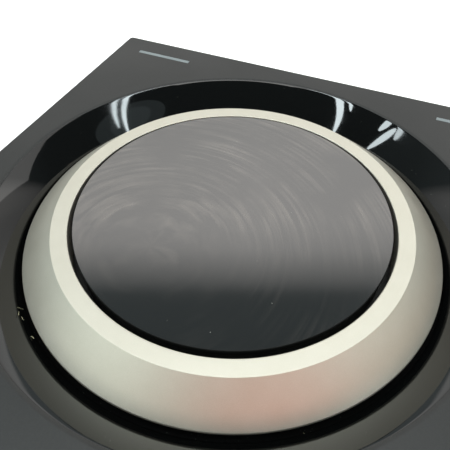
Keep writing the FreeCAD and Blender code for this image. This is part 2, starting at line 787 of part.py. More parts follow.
# Parts on the board: place, width, depth, height.
CHIPS = [(in_corner(-19, -17), 9.0, 9.0, 1.0), (in_corner(-30, -8), 7.0, 7.0, 0.9), (in_corner(-41, -6.5), 3.2, 2.5, 0.8),
         (in_corner(36, -7), 5.0, 4.4, 0.9), (in_corner(-18, 15), 6.0, 6.0, 0.9), (in_corner(10, 19), 3.0, 3.0, 0.9),
         (by_left(8, -17), 4.0, 5.0, 0.9)]
INDUCTORS = [(by_rear(usb_x - 3, 7), 4.2, 4.2, 2.4), (in_corner(6.5, 34), 4.2, 4.2, 2.4), (in_corner(6.5, 42), 4.2, 4.2, 2.4)]
CANS = [by_rear(line_out_x - 10, 6.5), by_rear(usb_x - 11, 5.5), by_rear(line_out_x + 8, 6.5), by_rear(line_out_x + 13, 13.5)]


def packages(rows):
    return group([centred_box(*at, w, d, board_top, board_top + h) for at, w, d, h in rows])


def main_board_chips():
    """The audio chip, the controller and their neighbours, as flat packages."""
    return packages(CHIPS)


def main_board_inductors():
    return packages(INDUCTORS)


def main_board_capacitors():
    """Aluminium cans on square plastic bases."""
    cans = []
    for at in CANS:
        base = centred_box(*at, can_base_w, can_base_w, board_top, board_top + can_base_h)
        cans.append(joined([base, rod(can_r, board_top + can_base_h, board_top + can_h, *at)]))
    return group(cans)


# ---- encoder ------------------------------------------------------------------------------------------------------
encoder_w = 11.8
encoder_h = 4.5
bush_r = 4.4
bush_h = 1.2
shaft_r = 3.0
shaft_clear = 0.04
shaft_flat = 0.9        # depth of the flat on the shaft
wiper_r = 4.4
wiper_t = 0.8
wiper_clear = 0.15      # above and below the wiper
wafer_t = 1.0
wiper_z = board_top + wafer_t + wiper_clear


def encoder_place(shape):
    return placed(shape, encoder_x, encoder_y, 0, encoder_angle)


def encoder_body():
    z1 = board_top + encoder_h
    can = centred_box(0, 0, encoder_w, encoder_w, board_top + wafer_t, z1)
    can = joined([can, rod(bush_r, z1, z1 + bush_h)])
    can = can.cut(rod(wiper_r + 0.4, board_top, wiper_z + wiper_t + wiper_clear))
    return encoder_place(can.cut(rod(shaft_r + shaft_clear, board_top, z1 + bush_h + 1)))


def encoder_wafer():
    return encoder_place(centred_box(0, 0, encoder_w, encoder_w, board_top, board_top + wafer_t))


def encoder_shaft():
    top = gear_top + 0.2
    shaft = joined([rod(shaft_r, wiper_z, top), rod(wiper_r, wiper_z, wiper_z + wiper_t)])
    flat = box(shaft_r - shaft_flat, shaft_r + 1, -shaft_r, shaft_r, gear_z, top + 1)
    return encoder_place(shaft.cut(flat))


def encoder_pinion():
    """Turned half a tooth so that a gap faces the carrier's tooth."""
    gap_angle = math.pi + math.pi / pinion_teeth
    gear = spur_gear(pinion_teeth, gear_module, gap_angle, gear_z, gear_top)
    bore = rod(shaft_r, gear_z - 1, gear_top + 1)
    flat = box(shaft_r - shaft_flat, shaft_r + 1, -shaft_r, shaft_r, gear_z - 2, gear_top + 2)
    return encoder_place(gear.cut(bore.cut(flat)))


# ---- sockets ------------------------------------------------------------------------------------------------------
contact_t = 0.25
contact_w = 1.0
contact_len = 2.4
contact_in = jack_bore_r + 0.1      # from the bore's axis to the leaf
CONTACTS = [(-1, 3.4), (1, 6.6), (-1, 9.4)]     # side of the bore, and how far behind the nose's face it starts


def jack_front():
    """Where the jack's body meets the inner face of the wall."""
    return inner_half - slip


def jack_body():
    front, face = jack_front(), half - nose_sink
    body = box(-jack_w / 2, jack_w / 2, front - jack_len, front, board_top, board_top + jack_h)
    nose = Part.makeCylinder(jack_nose_r, face - front + 0.5, V(0, front - 0.5, jack_z), V(0, 1, 0))
    bore = Part.makeCylinder(jack_bore_r, jack_depth, V(0, face - jack_depth, jack_z), V(0, 1, 0))
    lead_in = Part.makeCone(jack_bore_r, jack_bore_r + 0.35, 0.35, V(0, face - 0.35, jack_z), V(0, 1, 0))
    slots = [joined([contact_leaf(side, back), side_box(side, 0, contact_in, back, contact_len, jack_z)])
             for side, back in CONTACTS]
    return joined([body, nose]).cut([bore, lead_in]).cut(slots)


def side_box(side, near, far, back, length, low):
    """A box beside the bore, from near to far of its axis, reaching down to the level low or half a contact's width."""
    x0, x1 = sorted((side * near, side * far))
    y1 = half - nose_sink - back
    z1 = jack_z + contact_w / 2
    return box(x0, x1, y1 - length, y1, min(low, jack_z - contact_w / 2), z1)


def contact_leaf(side, back):
    """A leaf contact beside the bore with a leg down to the board."""
    far = contact_in + contact_t
    leaf = side_box(side, contact_in, far, back, contact_len, jack_z)
    return joined([leaf, side_box(side, contact_in, far, back, contact_w, board_top)])


def jack(name):
    turn, along = next((turn, along) for n, turn, along in JACKS if n == name)
    return placed(placed(jack_body(), along), turn=turn)


def jack_contacts():
    leaves = []
    for _, turn, along in JACKS:
        leaves += [placed(placed(contact_leaf(side, back), along), turn=turn) for side, back in CONTACTS]
    return group(leaves)


def usb_front():
    return half - nose_sink - 0.3


def usb_shell():
    outer = Part.Face(usb_section(0)).extrude(V(0, usb_len, 0))
    inner = Part.Face(usb_section(-usb_skin)).extrude(V(0, usb_len + 2, 0))
    shell = outer.cut(inner)
    return placed(shell, usb_x, usb_front() - usb_len)


def usb_tongue():
    back = Part.Face(usb_section(-usb_skin)).extrude(V(0, 1.4, 0))
    tongue = box(-1.9, 1.9, 1.4 - 0.01, usb_len - 1.0, usb_z - 0.05, usb_z + 0.55)
    pins = [box(-1.5 + 0.65 * i, -1.1 + 0.65 * i, 1.39, usb_len - 1.4, usb_z - 0.17, usb_z - 0.04) for i in range(5)]
    return placed(joined([back, tongue] + pins), usb_x, usb_front() - usb_len)


# ---- corner marks and touch springs -------------------------------------------------------------------------------
pipe_flange = 0.7
pipe_flange_t = 0.8
pipe_foot_w = 4.0
pipe_led_gap = 0.2
corner_led_h = 0.8


def light_pipe(sx, sy):
    """A clear blade: flush with the top face, narrowing to the light on the board."""
    foot_z = board_top + corner_led_h + pipe_led_gap
    shoulder = ceiling_z - glue_gap - pipe_flange_t
    top, low, w = mark_len / 2, pipe_foot_w / 2, mark_w
    outline = [V(-top, 0, case_top), V(top, 0, case_top), V(top, 0, shoulder), V(low, 0, foot_z)]
    outline += [V(-low, 0, foot_z), V(-top, 0, shoulder)]
    blade = Part.Face(Part.makePolygon(outline + outline[:1])).extrude(V(0, w, 0))
    blade.translate(V(0, -w / 2, 0))
    flange = centred_box(0, 0, mark_len + 2 * pipe_flange, w + 2 * pipe_flange, shoulder, shoulder + pipe_flange_t)
    return placed(joined([blade, flange]), sx * mark_x, sy * mark_y)


def corner_leds():
    z1 = board_top + corner_led_h
    lights = [centred_box(sx * mark_x, sy * mark_y, 3.2, 1.4, board_top, z1) for sx, sy in CORNERS.values()]
    return group(lights)


spring_side = 7.0       # from the case's side to the spring's axis
spring_ahead = 11.0     # from the case's front or rear to the spring's axis


def touch_spring(sx, sy):
    """A coil that presses on the underside of the top face and carries the touch signal to the board."""
    low = board_top + spring_wire_r
    height = ceiling_z - 2 * glue_gap - low - spring_wire_r
    turns = max(3, round(height / spring_pitch))
    path = Part.Wire(Part.makeHelix(height / turns, height, spring_r).Edges)
    start = path.Edges[0].valueAt(path.Edges[0].FirstParameter)
    section = Part.Wire(Part.Circle(start, V(0, 1, 0), spring_wire_r).toShape())
    coil = path.makePipeShell([section], True, True)
    x, y = sx * (half - spring_side), sy * (half - spring_ahead)
    return placed(coil, x, y, low + glue_gap)


# ---- every node ---------------------------------------------------------------------------------------------------
NODES = {
    "top_case": top_case,
    "dish_bezel": dish_bezel,
    "damping_felt": damping_felt,
    "bottom_case": bottom_case,
    "base_label": base_label,
    "case_screws": case_screws,
    "control_ring": control_ring,
    "ring_carrier": ring_carrier,
    "ring_screws": ring_screws,
    "lower_glide_washer": lower_glide_washer,
    "upper_glide_washer": upper_glide_washer,
    "display_pedestal": display_pedestal,
    "bearing_tower": bearing_tower,
    "pedestal_screws": pedestal_screws,
    "tower_screws": tower_screws,
    "touch_glass": touch_glass,
    "glass_adhesive": glass_adhesive,
    "light_cell_frame": light_cell_frame,
    "display_board": display_board,
    "display_leds": display_leds,
    "ribbon_connector_upper": ribbon_connector_upper,
    "ribbon_connector_lower": ribbon_connector_lower,
    "display_ribbon": display_ribbon,
    "main_board": main_board,
    "board_screws": board_screws,
    "main_board_chips": main_board_chips,
    "main_board_capacitors": main_board_capacitors,
    "main_board_inductors": main_board_inductors,
    "encoder_body": encoder_body,
    "encoder_wafer": encoder_wafer,
    "encoder_shaft": encoder_shaft,
    "encoder_pinion": encoder_pinion,
    "usb_shell": usb_shell,
    "usb_tongue": usb_tongue,
    "jack_contacts": jack_contacts,
    "corner_leds": corner_leds,
}
for name, _, _ in JACKS:
    NODES["jack_" + name] = lambda name=name: jack(name)
for corner, (sx, sy) in CORNERS.items():
    NODES["foot_" + corner] = lambda sx=sx, sy=sy: foot(sx, sy)
    NODES["light_pipe_" + corner] = lambda sx=sx, sy=sy: light_pipe(sx, sy)
    NODES["touch_spring_" + corner] = lambda sx=sx, sy=sy: touch_spring(sx, sy)


def main():
    os.makedirs("parts", exist_ok=True)
    for name, make in NODES.items():
        shape = make()
        solids = shape.Solids
        good = shape.isValid() and all(s.isValid() and s.Volume > 0 for s in solids)
        print(f"{name:26s} solids {len(solids):2d}  volume {shape.Volume:10.2f}  {'ok' if good else 'BAD'}")
        shape.exportStep(f"parts/{name}.step")


main()
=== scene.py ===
# %% [markdown]
# # A desktop control dial
#
# The object is a square black box for a desk. A wide aluminium ring turns around a fixed disc of black glass, and both
# stand in a glossy dish. The measured model comes in first, with every piece in its real place and in metres. What is
# added here is the part that engineering shapes can't give: finely turned edges, dust, and the way that each surface
# takes the light.

# %% Load the measured model
import math
import random

import bmesh
import bpy
from mathutils import Matrix, Vector, noise


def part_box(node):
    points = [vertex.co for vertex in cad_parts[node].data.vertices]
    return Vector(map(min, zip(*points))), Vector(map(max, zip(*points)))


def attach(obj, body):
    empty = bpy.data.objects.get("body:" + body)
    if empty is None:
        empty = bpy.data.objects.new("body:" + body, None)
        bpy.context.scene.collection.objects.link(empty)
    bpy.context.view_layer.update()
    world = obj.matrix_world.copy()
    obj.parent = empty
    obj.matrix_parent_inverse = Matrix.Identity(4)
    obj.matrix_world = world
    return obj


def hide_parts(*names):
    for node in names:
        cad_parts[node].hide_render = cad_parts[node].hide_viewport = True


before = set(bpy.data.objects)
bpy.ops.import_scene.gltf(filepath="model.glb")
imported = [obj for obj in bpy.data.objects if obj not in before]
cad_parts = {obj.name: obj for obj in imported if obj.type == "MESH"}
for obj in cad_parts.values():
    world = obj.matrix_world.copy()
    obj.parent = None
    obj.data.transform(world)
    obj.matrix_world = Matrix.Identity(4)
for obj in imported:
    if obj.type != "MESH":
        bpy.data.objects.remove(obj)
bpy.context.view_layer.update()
MM = 0.001

# %% [markdown]
# ## Reading sizes off the model
#
# Nothing here repeats a size that the model already knows. The top of the case, the edge of the glass and the foot of
# the ring are read from each piece's box, so a ring that is turned anew sits exactly where the measured one was.

# %% Levels and radii, read from the boxes
def reach(name):
    """The outer radius of a round piece."""
    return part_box(name)[1].x


def top(name):
    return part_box(name)[1].z


def foot(name):
    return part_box(name)[0].z


case_top = top("top_case")
print("case", round(2 * reach("top_case") / MM, 2), "mm wide, its top at", round(case_top / MM, 2), "mm")
print("radii of glass and ring", [round(reach(name) / MM, 2) for name in ("touch_glass", "control_ring")], "mm")

# %% [markdown]
# ## The camera
#
# The dial is seen from very near, about a hand's width away, so its far side looks much narrower than its near side.
# That comes from the short distance and not from the lens, so the distance has to be right before anything else is.
# The camera looks at a point a little in front of the middle of the glass.

# %% Place the camera
aim = Vector((0.03 * MM, -3.39 * MM, case_top))
bearing, tilt, roll, distance = math.radians(22.81), math.radians(47.05), math.radians(0.34), 85.75 * MM
towards_eye = Vector((math.sin(bearing) * math.cos(tilt), -math.cos(bearing) * math.cos(tilt), math.sin(tilt)))
lens = bpy.data.cameras.new("near_camera")
lens.sensor_width = 36.0
lens.lens = 40.71
lens.clip_start = 0.004
lens.clip_end = 30.0
camera = bpy.data.objects.new("near_camera", lens)
bpy.context.collection.objects.link(camera)
facing = towards_eye.to_track_quat("Z", "Y").to_matrix().to_4x4()
camera.matrix_world = Matrix.Translation(aim + towards_eye * distance) @ facing @ Matrix.Rotation(roll, 4, "Z")
bpy.context.scene.camera = camera
bpy.context.scene.view_settings.view_transform = "Standard"
print("eye at", [round(v / MM, 1) for v in camera.matrix_world.translation], "mm")

# %% [markdown]
# ## One way to add a node
#
# A material is a small machine of nodes. It can be wired by hand in the editor, but a script has to say every link, so
# one function does it for all of them: it makes the node, sets its properties, fills its sockets, and links a socket
# when it is given another node's output instead of a value.

# %% The node helper and the colour helper
def add(tree, kind, sockets=None, out=0, **settings):
    """Adds a node and returns one of its outputs, or the node itself when out is None."""
    new = tree.nodes.new("ShaderNode" + kind)
    for name, value in settings.items():
        setattr(new, name, value)
    for key, value in (sockets or {}).items():
        if isinstance(value, bpy.types.NodeSocket):
            tree.links.new(value, new.inputs[key])
        else:
            new.inputs[key].default_value = value
    return new if out is None else new.outputs[out]


def paint(code):
    """An sRGB hex colour as the linear values that a shader works in."""
    parts = [int(code[i:i + 2], 16) / 255 for i in (1, 3, 5)]
    return tuple([c / 12.92 if c <= 0.04045 else ((c + 0.055) / 1.055) ** 2.4 for c in parts] + [1.0])


print("a mid grey is", [round(c, 3) for c in paint("#808080")])

# %% [markdown]
# ## The room
#
# Black gloss and satin metal have almost no colour of their own. What the eye sees in them is the room, so the room
# comes first. Behind the dial stands a pale wall that dims towards its top edge and then stops, with a dark ceiling
# above it: that edge is the straight line across the glass. It could be a card with a lamp behind it, but a world that
# answers to the direction of each ray does the same with less noise. Two ramps shape it: one shades the wall from its
# foot to its top edge, and one gives the horizon a glow that the ceiling fades out of. The ceiling is brighter over the
# wall than in front, where a person stands and the room is dark, which is why the far side of the dish is black.

# %% The world: a pale wall behind, a dark ceiling above
def set_stops(ramp, stops):
    """Gives a colour ramp its (position, grey) stops."""
    while len(ramp.color_ramp.elements) < len(stops):
        ramp.color_ramp.elements.new(0.5)
    for stop, (position, grey) in zip(ramp.color_ramp.elements, stops):
        stop.position, stop.color = position, (grey, grey, grey, 1.0)


world = bpy.data.worlds.new("room")
bpy.context.scene.world = world
world.use_nodes = True
sky = world.node_tree
sky.nodes.clear()
ray = add(sky, "TexCoord", out="Generated")
wall_ahead = (-math.sin(bearing), math.cos(bearing), 0.0)
wall_side = (math.cos(bearing), math.sin(bearing), 0.0)
never_zero, brightest = 0.02, 0.08
ahead = add(sky, "VectorMath", {0: ray, 1: wall_ahead}, out="Value", operation="DOT_PRODUCT")
ahead = add(sky, "Math", {0: ahead, 1: never_zero}, operation="MAXIMUM")
rise = add(sky, "Math", {0: add(sky, "SeparateXYZ", {0: ray}, out="Z"), 1: ahead}, operation="DIVIDE")
along = add(sky, "Math", {0: add(sky, "VectorMath", {0: ray, 1: wall_side}, out="Value", operation="DOT_PRODUCT"),
                          1: ahead}, operation="DIVIDE")
fade = add(sky, "ValToRGB", {"Fac": add(sky, "MapRange", {0: rise, 1: 0.0, 2: 2.0})}, out=None)
set_stops(fade, [(0.0, 0.02), (0.066, 0.04), (0.080, 0.60), (0.20, 0.50), (0.27, 0.51), (0.34, 0.56), (0.417, 0.72),
                 (0.486, 0.79), (0.536, 0.82), (0.590, 0.70), (0.618, 0.51), (0.646, 0.36), (0.676, 0.20),
                 (0.706, 0.0)])
off_middle = add(sky, "Math", {0: along, 1: brightest}, operation="SUBTRACT")
off_middle = add(sky, "Math", {0: off_middle}, operation="ABSOLUTE")
ends = add(sky, "MapRange", {0: off_middle, 1: 0.0, 2: 3.0, 3: 1.76, 4: 0.0})
wall_glow = add(sky, "Math", {0: fade.outputs["Color"], 1: ends}, operation="MULTIPLY")
wall_light = add(sky, "Background", {"Color": (1.0, 0.955, 0.92, 1.0), "Strength": wall_glow})
level = add(sky, "SeparateXYZ", {0: ray}, out="Z")
ceiling = add(sky, "MapRange", {0: ahead, 1: 0.25, 2: 0.52, 3: 0.09, 4: 0.205})
glow = add(sky, "ValToRGB", {"Fac": ahead}, out=None)
set_stops(glow, [(0.0, 0.60), (0.30, 1.00), (0.50, 0.50), (1.0, 0.45)])
horizon = add(sky, "MapRange", {0: level, 1: 0.17, 2: 0.32, 3: glow.outputs["Color"], 4: ceiling},
              interpolation_type="SMOOTHSTEP")
ceiling_light = add(sky, "Background", {"Color": (0.84, 0.98, 1.0, 1.0), "Strength": horizon})
room = add(sky, "AddShader", {0: wall_light, 1: ceiling_light})
backdrop = add(sky, "Background", {"Color": paint("#F4F4F2"), "Strength": 1.0})
direct = add(sky, "LightPath", out="Is Camera Ray")
add(sky, "OutputWorld", {"Surface": add(sky, "MixShader", {0: direct, 1: room, 2: backdrop})}, out=None)
print("world nodes:", len(sky.nodes))

# %% [markdown]
# ## Panels and windows
#
# A soft panel overhead lights the top of the case. Two low, wide panels in front give the near side of the ring its
# glow, one rose and one a little green, and a card behind brightens its far right. Three wide, weak ellipses are the
# glow that the dish's two sides mirror. The bright slivers in the dish are far windows: each is a thin ellipse that is
# placed by the direction it is seen in, because a curved mirror shows directions and not places. An ellipse gives a
# sliver its pointed end. The lamps hide from the camera, so that no view shows them as shapes in the air.

# %% Panels, placed by direction
def compass(turn, rise_angle):
    """The direction at an angle from +X towards +Y, and an angle above level, both in degrees."""
    b, e = math.radians(turn), math.radians(rise_angle)
    return Vector((math.cos(e) * math.cos(b), math.cos(e) * math.sin(b), math.sin(e)))


def panel(name, out, far, size, brightness, tint=(1.0, 1.0, 1.0), along=Vector((0, 0, 1))):
    """A rectangle of light that faces the dial from far away. brightness is the radiance of its face."""
    lamp = bpy.data.lights.new(name, "AREA")
    lamp.shape = "RECTANGLE"
    lamp.size, lamp.size_y = size
    lamp.color = tint
    lamp.energy = brightness * math.pi * size[0] * size[1]
    holder = bpy.data.objects.new(name, lamp)
    bpy.context.collection.objects.link(holder)
    out = out.normalized()
    wide = along.cross(out).normalized()
    facing_in = Matrix((wide, out.cross(wide), out)).transposed().to_4x4()
    holder.matrix_world = Matrix.Translation(Vector((0, 0, case_top)) + out * far) @ facing_in
    holder.visible_camera = False
    return holder


def window(name, middle, tip, wide, brightness, tint=(0.86, 0.97, 1.0)):
    """A thin far window, widest in one direction and pointed in another. wide is its width in degrees."""
    a, b, far = compass(*middle), compass(*tip), 2.0
    size = (2 * far * math.tan(math.radians(wide) / 2), 2 * far * math.tan(a.angle(b)))
    holder = panel(name, a, far, size, brightness, tint, along=a - b)
    holder.data.shape = "ELLIPSE"
    holder.data.energy *= math.pi / 4
    return holder


panel("overhead", compass(112, 86), 0.9, (0.40, 0.40), 3.85, (1.0, 1.0, 0.97))
panel("front_left_fill", compass(-124, 26), 0.8, (0.80, 0.30), 1.55, (0.93, 1.0, 0.92))
panel("front_right_fill", compass(-52, 25), 0.8, (0.95, 0.28), 1.65, (1.0, 0.44, 0.35))
panel("right_fill", compass(10, 24), 0.8, (0.55, 0.22), 1.15, (1.0, 0.82, 0.66))
for name, out, size, brightness in [("right_glow", compass(-4, 44), (0.62, 0.80), 0.22),
                                    ("right_glow_core", compass(-4, 46), (0.34, 0.50), 0.16),
                                    ("left_glow", compass(176, 36), (1.20, 0.90), 0.08)]:
    panel(name, out, 1.2, size, brightness, (0.80, 0.97, 1.0)).data.shape = "ELLIPSE"
panel("back_right_card", compass(66, 50), 1.0, (0.35, 0.50), 1.3, (1.0, 0.99, 0.96))
window("window_right_outer", (16.0, 62.0), (1.0, 42.0), 1.5, 17.0)
window("window_right_inner", (10.0, 63.5), (-6.5, 31.0), 1.7, 17.0)
window("window_left_a", (-141.5, 62.0), (-126.5, 34.0), 2.2, 17.0)
window("window_left_b", (-158.0, 67.5), (-146.0, 59.5), 1.1, 17.0)
window("window_left_c", (-157.5, 45.5), (-147.5, 33.5), 2.3, 14.0)
window("window_left_d", (-167.5, 57.0), (-158.0, 51.0), 1.7, 14.0)
window("window_left_e", (-174.0, 55.0), (-166.0, 48.5), 1.7, 12.0)
print("panels and windows:", len(bpy.data.lights))

# %% [markdown]
# ## The table
#
# A plain white table top. It fills the background and throws light back up the sides of the case. A little glow of its
# own stands in for the bright room around it, because a lamp strong enough to do that would burn out the ring.

# %% The table top
bm = bmesh.new()
bmesh.ops.create_grid(bm, x_segments=1, y_segments=1, size=6.0)
mesh = bpy.data.meshes.new("table_top")
bm.to_mesh(mesh)
bm.free()
table_top = bpy.data.objects.new("table_top", mesh)
bpy.context.collection.objects.link(table_top)
laminate = bpy.data.materials.new("white_laminate")
laminate.use_nodes = True
laminate_shader = laminate.node_tree.nodes["Principled BSDF"]
laminate_shader.inputs["Base Color"].default_value = paint("#F3F3F1")
laminate_shader.inputs["Roughness"].default_value = 0.55
laminate_shader.inputs["Emission Color"].default_value = (1.0, 1.0, 1.0, 1.0)
laminate_shader.inputs["Emission Strength"].default_value = 0.45
mesh.materials.append(laminate)
print("table", [round(v, 1) for v in table_top.dimensions], "m")

# %% [markdown]
# ## How a finish starts
#
# Each finish starts from what the real surface is. A plastic bends light with an index near 1.5, a metal's colour is
# its reflection, and rubber has almost no gloss. Then comes the surface itself: spark texture, blasting, rolling or
# weave, at its real size. The patterns read the piece's own coordinates, which are metres, so a grain of 0.2 mm is a
# noise whose scale is 1 / 0.0002. Values that are the same all over go straight on the shader. Two combinations come
# back so often that each has a function: the three links that shade, dull and roughen a surface, and a scatter of dust.

# %% Starting a finish
FINISHES = {}


def finish(name, slot, **constants):
    """A material for one of the model's slots: its node tree, its shader and its coordinates in metres."""
    material = bpy.data.materials.new(name)
    material.use_nodes = True
    tree = material.node_tree
    tree.nodes.clear()
    shader = add(tree, "BsdfPrincipled", out=None)
    for key, value in constants.items():
        shader.inputs[key.replace("_", " ")].default_value = value
    add(tree, "OutputMaterial", {"Surface": shader.outputs[0]}, out=None)
    FINISHES[slot] = material
    return tree, shader, add(tree, "TexCoord", out="Object")


def per_mm(size):
    """The scale of a pattern whose features are this many millimetres apart."""
    return 1.0 / (size * MM)


def bands_per_mm(pitch):
    """The scale of a wave whose bands are this many millimetres apart."""
    return math.pi / (10 * pitch * MM)


def surface(tree, shader, colour, roughness, relief):
    """Links (pattern, dark, light) as colour, (pattern, low, high) as roughness and (pattern, strength, mm) as bump."""
    tint = add(tree, "Mix", {0: colour[0], 6: paint(colour[1]), 7: paint(colour[2])}, out=2, data_type="RGBA")
    tree.links.new(tint, shader.inputs["Base Color"])
    gloss = add(tree, "MapRange", {0: roughness[0], 1: 0.3, 2: 0.7, 3: roughness[1], 4: roughness[2]})
    tree.links.new(gloss, shader.inputs["Roughness"])
    bump = add(tree, "Bump", {"Height": relief[0], "Strength": relief[1], "Distance": relief[2] * MM})
    tree.links.new(bump, shader.inputs["Normal"])


def specks(tree, place, spacing, size, rarity):
    """Dust: a dot in each cell. size is a share of the spacing, and rarity the share of cells that stay empty."""
    cells = add(tree, "TexVoronoi", {"Vector": place, "Scale": per_mm(spacing)}, out=None)
    dot = add(tree, "Math", {0: cells.outputs["Distance"], 1: size}, operation="LESS_THAN")
    chance = add(tree, "SeparateXYZ", {0: cells.outputs["Color"]})
    rare = add(tree, "Math", {0: chance, 1: rarity}, operation="GREATER_THAN")
    return add(tree, "Math", {0: dot, 1: rare}, operation="MULTIPLY")


print("a 0.2 mm grain has scale", round(per_mm(0.2)))

# %% [markdown]
# ## Black ABS from a spark-eroded mould
#
# The case is black ABS. Spark erosion leaves the steel mould covered in tiny craters, and they come out on the plastic
# as a grain about 0.2 mm across that breaks up every reflection. A bump of a few micrometres is enough, and real
# displacement would need millions of faces. Hands polish the high spots, so the gloss drifts over centimetres.

# %% The case's finish
tree, shader, place = finish("spark_textured_black_abs", "matte_black_case", IOR=1.52)
craters = add(tree, "TexVoronoi", {"Vector": place, "Scale": per_mm(0.24)}, feature="SMOOTH_F1")
fine = add(tree, "TexNoise", {"Vector": place, "Scale": per_mm(0.11), "Detail": 3.0, "Roughness": 0.6})
grain = add(tree, "Mix", {0: 0.55, 2: craters, 3: fine})
handled = add(tree, "TexNoise", {"Vector": place, "Scale": per_mm(26.0), "Detail": 3.0})
gloss = add(tree, "MapRange", {0: handled, 1: 0.35, 2: 0.65, 3: 0.42, 4: 0.50})
tone = add(tree, "MapRange", {0: grain, 1: 0.25, 2: 0.65, 3: 0.0, 4: 1.0})
tint = add(tree, "Mix", {0: tone, 6: paint("#1A1B1A"), 7: paint("#232423")}, out=2, data_type="RGBA")
tree.links.new(tint, shader.inputs["Base Color"])
tree.links.new(gloss, shader.inputs["Roughness"])
bump = add(tree, "Bump", {"Height": grain, "Strength": 0.5, "Distance": 0.02 * MM})
tree.links.new(bump, shader.inputs["Normal"])
print("spark texture 0.24 mm over 0.11 mm")

# %% [markdown]
# ## Black gloss plastic
#
# The dish is moulded in a polished tool, so it mirrors the room. Moulded gloss is never quite flat: it has a faint
# orange peel, about 2 mm from crest to crest and well under a micrometre high, and without it the reflections look
# computed. Dust shows on it more than on anything else, as pale specks smaller than 0.1 mm, so a few are scattered by a
# pattern of cells of which only the rarest are kept.

# %% The dish's finish
tree, shader, place = finish("polished_black_plastic", "gloss_black_dish", IOR=1.54)
peel = add(tree, "TexNoise", {"Vector": place, "Scale": per_mm(2.2), "Detail": 1.0})
dust = specks(tree, place, 0.9, 0.055, 0.93)
haze = add(tree, "TexNoise", {"Vector": place, "Scale": per_mm(7.0), "Detail": 4.0})
black = add(tree, "Mix", {0: dust, 6: paint("#080909"), 7: paint("#77786F")}, out=2, data_type="RGBA")
tree.links.new(black, shader.inputs["Base Color"])
wiped = add(tree, "MapRange", {0: haze, 1: 0.35, 2: 0.7, 3: 0.025, 4: 0.065})
tree.links.new(add(tree, "Math", {0: wiped, 1: dust}, operation="ADD"), shader.inputs["Roughness"])
bump = add(tree, "Bump", {"Height": peel, "Strength": 0.25, "Distance": 0.004 * MM})
tree.links.new(bump, shader.inputs["Normal"])
print("orange peel 2.2 mm, dust 0.05 mm")

# %% [markdown]
# ## Blasted and anodised aluminium
#
# The ring is turned, blasted with fine glass beads and anodised clear. Blasting gives an even frost with a grain about
# 0.1 mm wide, so a highlight spreads into a soft glow, and the oxide layer warms the metal very slightly. It is a metal
# with a rough surface, not a grey paint: the colour is on the metal's reflection and the shading is all the room's.

# %% The ring's finish
tree, shader, place = finish("bead_blasted_anodised_aluminium", "satin_aluminium", Metallic=1.0)
beads = add(tree, "TexNoise", {"Vector": place, "Scale": per_mm(0.10), "Detail": 2.0, "Roughness": 0.7})
cloud = add(tree, "TexNoise", {"Vector": place, "Scale": per_mm(4.0), "Detail": 5.0, "Roughness": 0.65})
frost = add(tree, "Mix", {0: 0.30, 2: beads, 3: cloud})
oxide = add(tree, "MapRange", {0: frost, 1: 0.35, 2: 0.65})
metal = add(tree, "Mix", {0: oxide, 6: paint("#D3D0C2"), 7: paint("#DEDBCF")}, out=2, data_type="RGBA")
tree.links.new(metal, shader.inputs["Base Color"])
tree.links.new(add(tree, "MapRange", {0: frost, 1: 0.3, 2: 0.7, 3: 0.50, 4: 0.58}), shader.inputs["Roughness"])
bump = add(tree, "Bump", {"Height": beads, "Strength": 0.35, "Distance": 0.008 * MM})
tree.links.new(bump, shader.inputs["Normal"])
print("bead blast 0.10 mm")

# %% [markdown]
# ## Black-backed glass, wiped with a finger
#
# The disc is clear glass with black printed on its back, so it reflects like glass over nothing. A clear slab over a
# black layer would be the honest way to build it, but the two surfaces look like one, and one shader with a coat gives
# the same reflection without noise. A touch surface is never clean. Fingers leave arcs of grease, which blur what is
# reflected and scatter a little light of their own, so they go into the roughness and, faintly, into the colour. The
# arcs are a noise whose coordinates are bent into a swing and a radius about the point that the wiping hand turned on.
# The hand wiped the middle and the far side, and the near side stayed almost clean.

# %% The glass disc's finish
tree, shader, place = finish("black_backed_glass", "black_glass", IOR=1.62, Coat_Weight=1.0, Coat_Roughness=0.05,
                             Coat_IOR=1.62, Specular_IOR_Level=0.8)
wipe_from = add(tree, "Mapping", {"Vector": place, "Location": (9.0 * MM, 13.0 * MM, 0.0)})
wipe_xy = add(tree, "SeparateXYZ", {0: wipe_from}, out=None)
swing = add(tree, "Math", {0: wipe_xy.outputs["Y"], 1: wipe_xy.outputs["X"]}, operation="ARCTAN2")
swung = add(tree, "Math", {0: swing, 1: 0.9 * MM}, operation="MULTIPLY")
radius = add(tree, "VectorMath", {0: wipe_from}, out="Value", operation="LENGTH")
arc = add(tree, "CombineXYZ", {"X": swung, "Y": radius})
trails = add(tree, "TexNoise", {"Vector": arc, "Scale": per_mm(0.55), "Detail": 3.0, "Distortion": 0.4})
patches = add(tree, "TexNoise", {"Vector": place, "Scale": per_mm(12.0), "Detail": 3.0})
depth = add(tree, "VectorMath", {0: place, 1: wall_ahead}, out="Value", operation="DOT_PRODUCT")
wiped_part = add(tree, "MapRange", {0: depth, 1: -13.0 * MM, 2: -2.0 * MM, 3: 0.12, 4: 1.0})
patches = add(tree, "Math", {0: add(tree, "MapRange", {0: patches, 1: 0.38, 2: 0.60}), 1: wiped_part},
              operation="MULTIPLY")
grease = add(tree, "Math", {0: add(tree, "MapRange", {0: trails, 1: 0.42, 2: 0.72}), 1: patches},
             operation="MULTIPLY")
dust = specks(tree, place, 1.6, 0.045, 0.90)
film = add(tree, "Mix", {0: grease, 6: paint("#0A0B0B"), 7: paint("#5C554F")}, out=2, data_type="RGBA")
tree.links.new(add(tree, "Mix", {0: dust, 6: film, 7: paint("#8E8E86")}, out=2, data_type="RGBA"),
               shader.inputs["Base Color"])
smeared = add(tree, "MapRange", {0: grease, 1: 0.0, 2: 0.8, 3: 0.085, 4: 0.17})
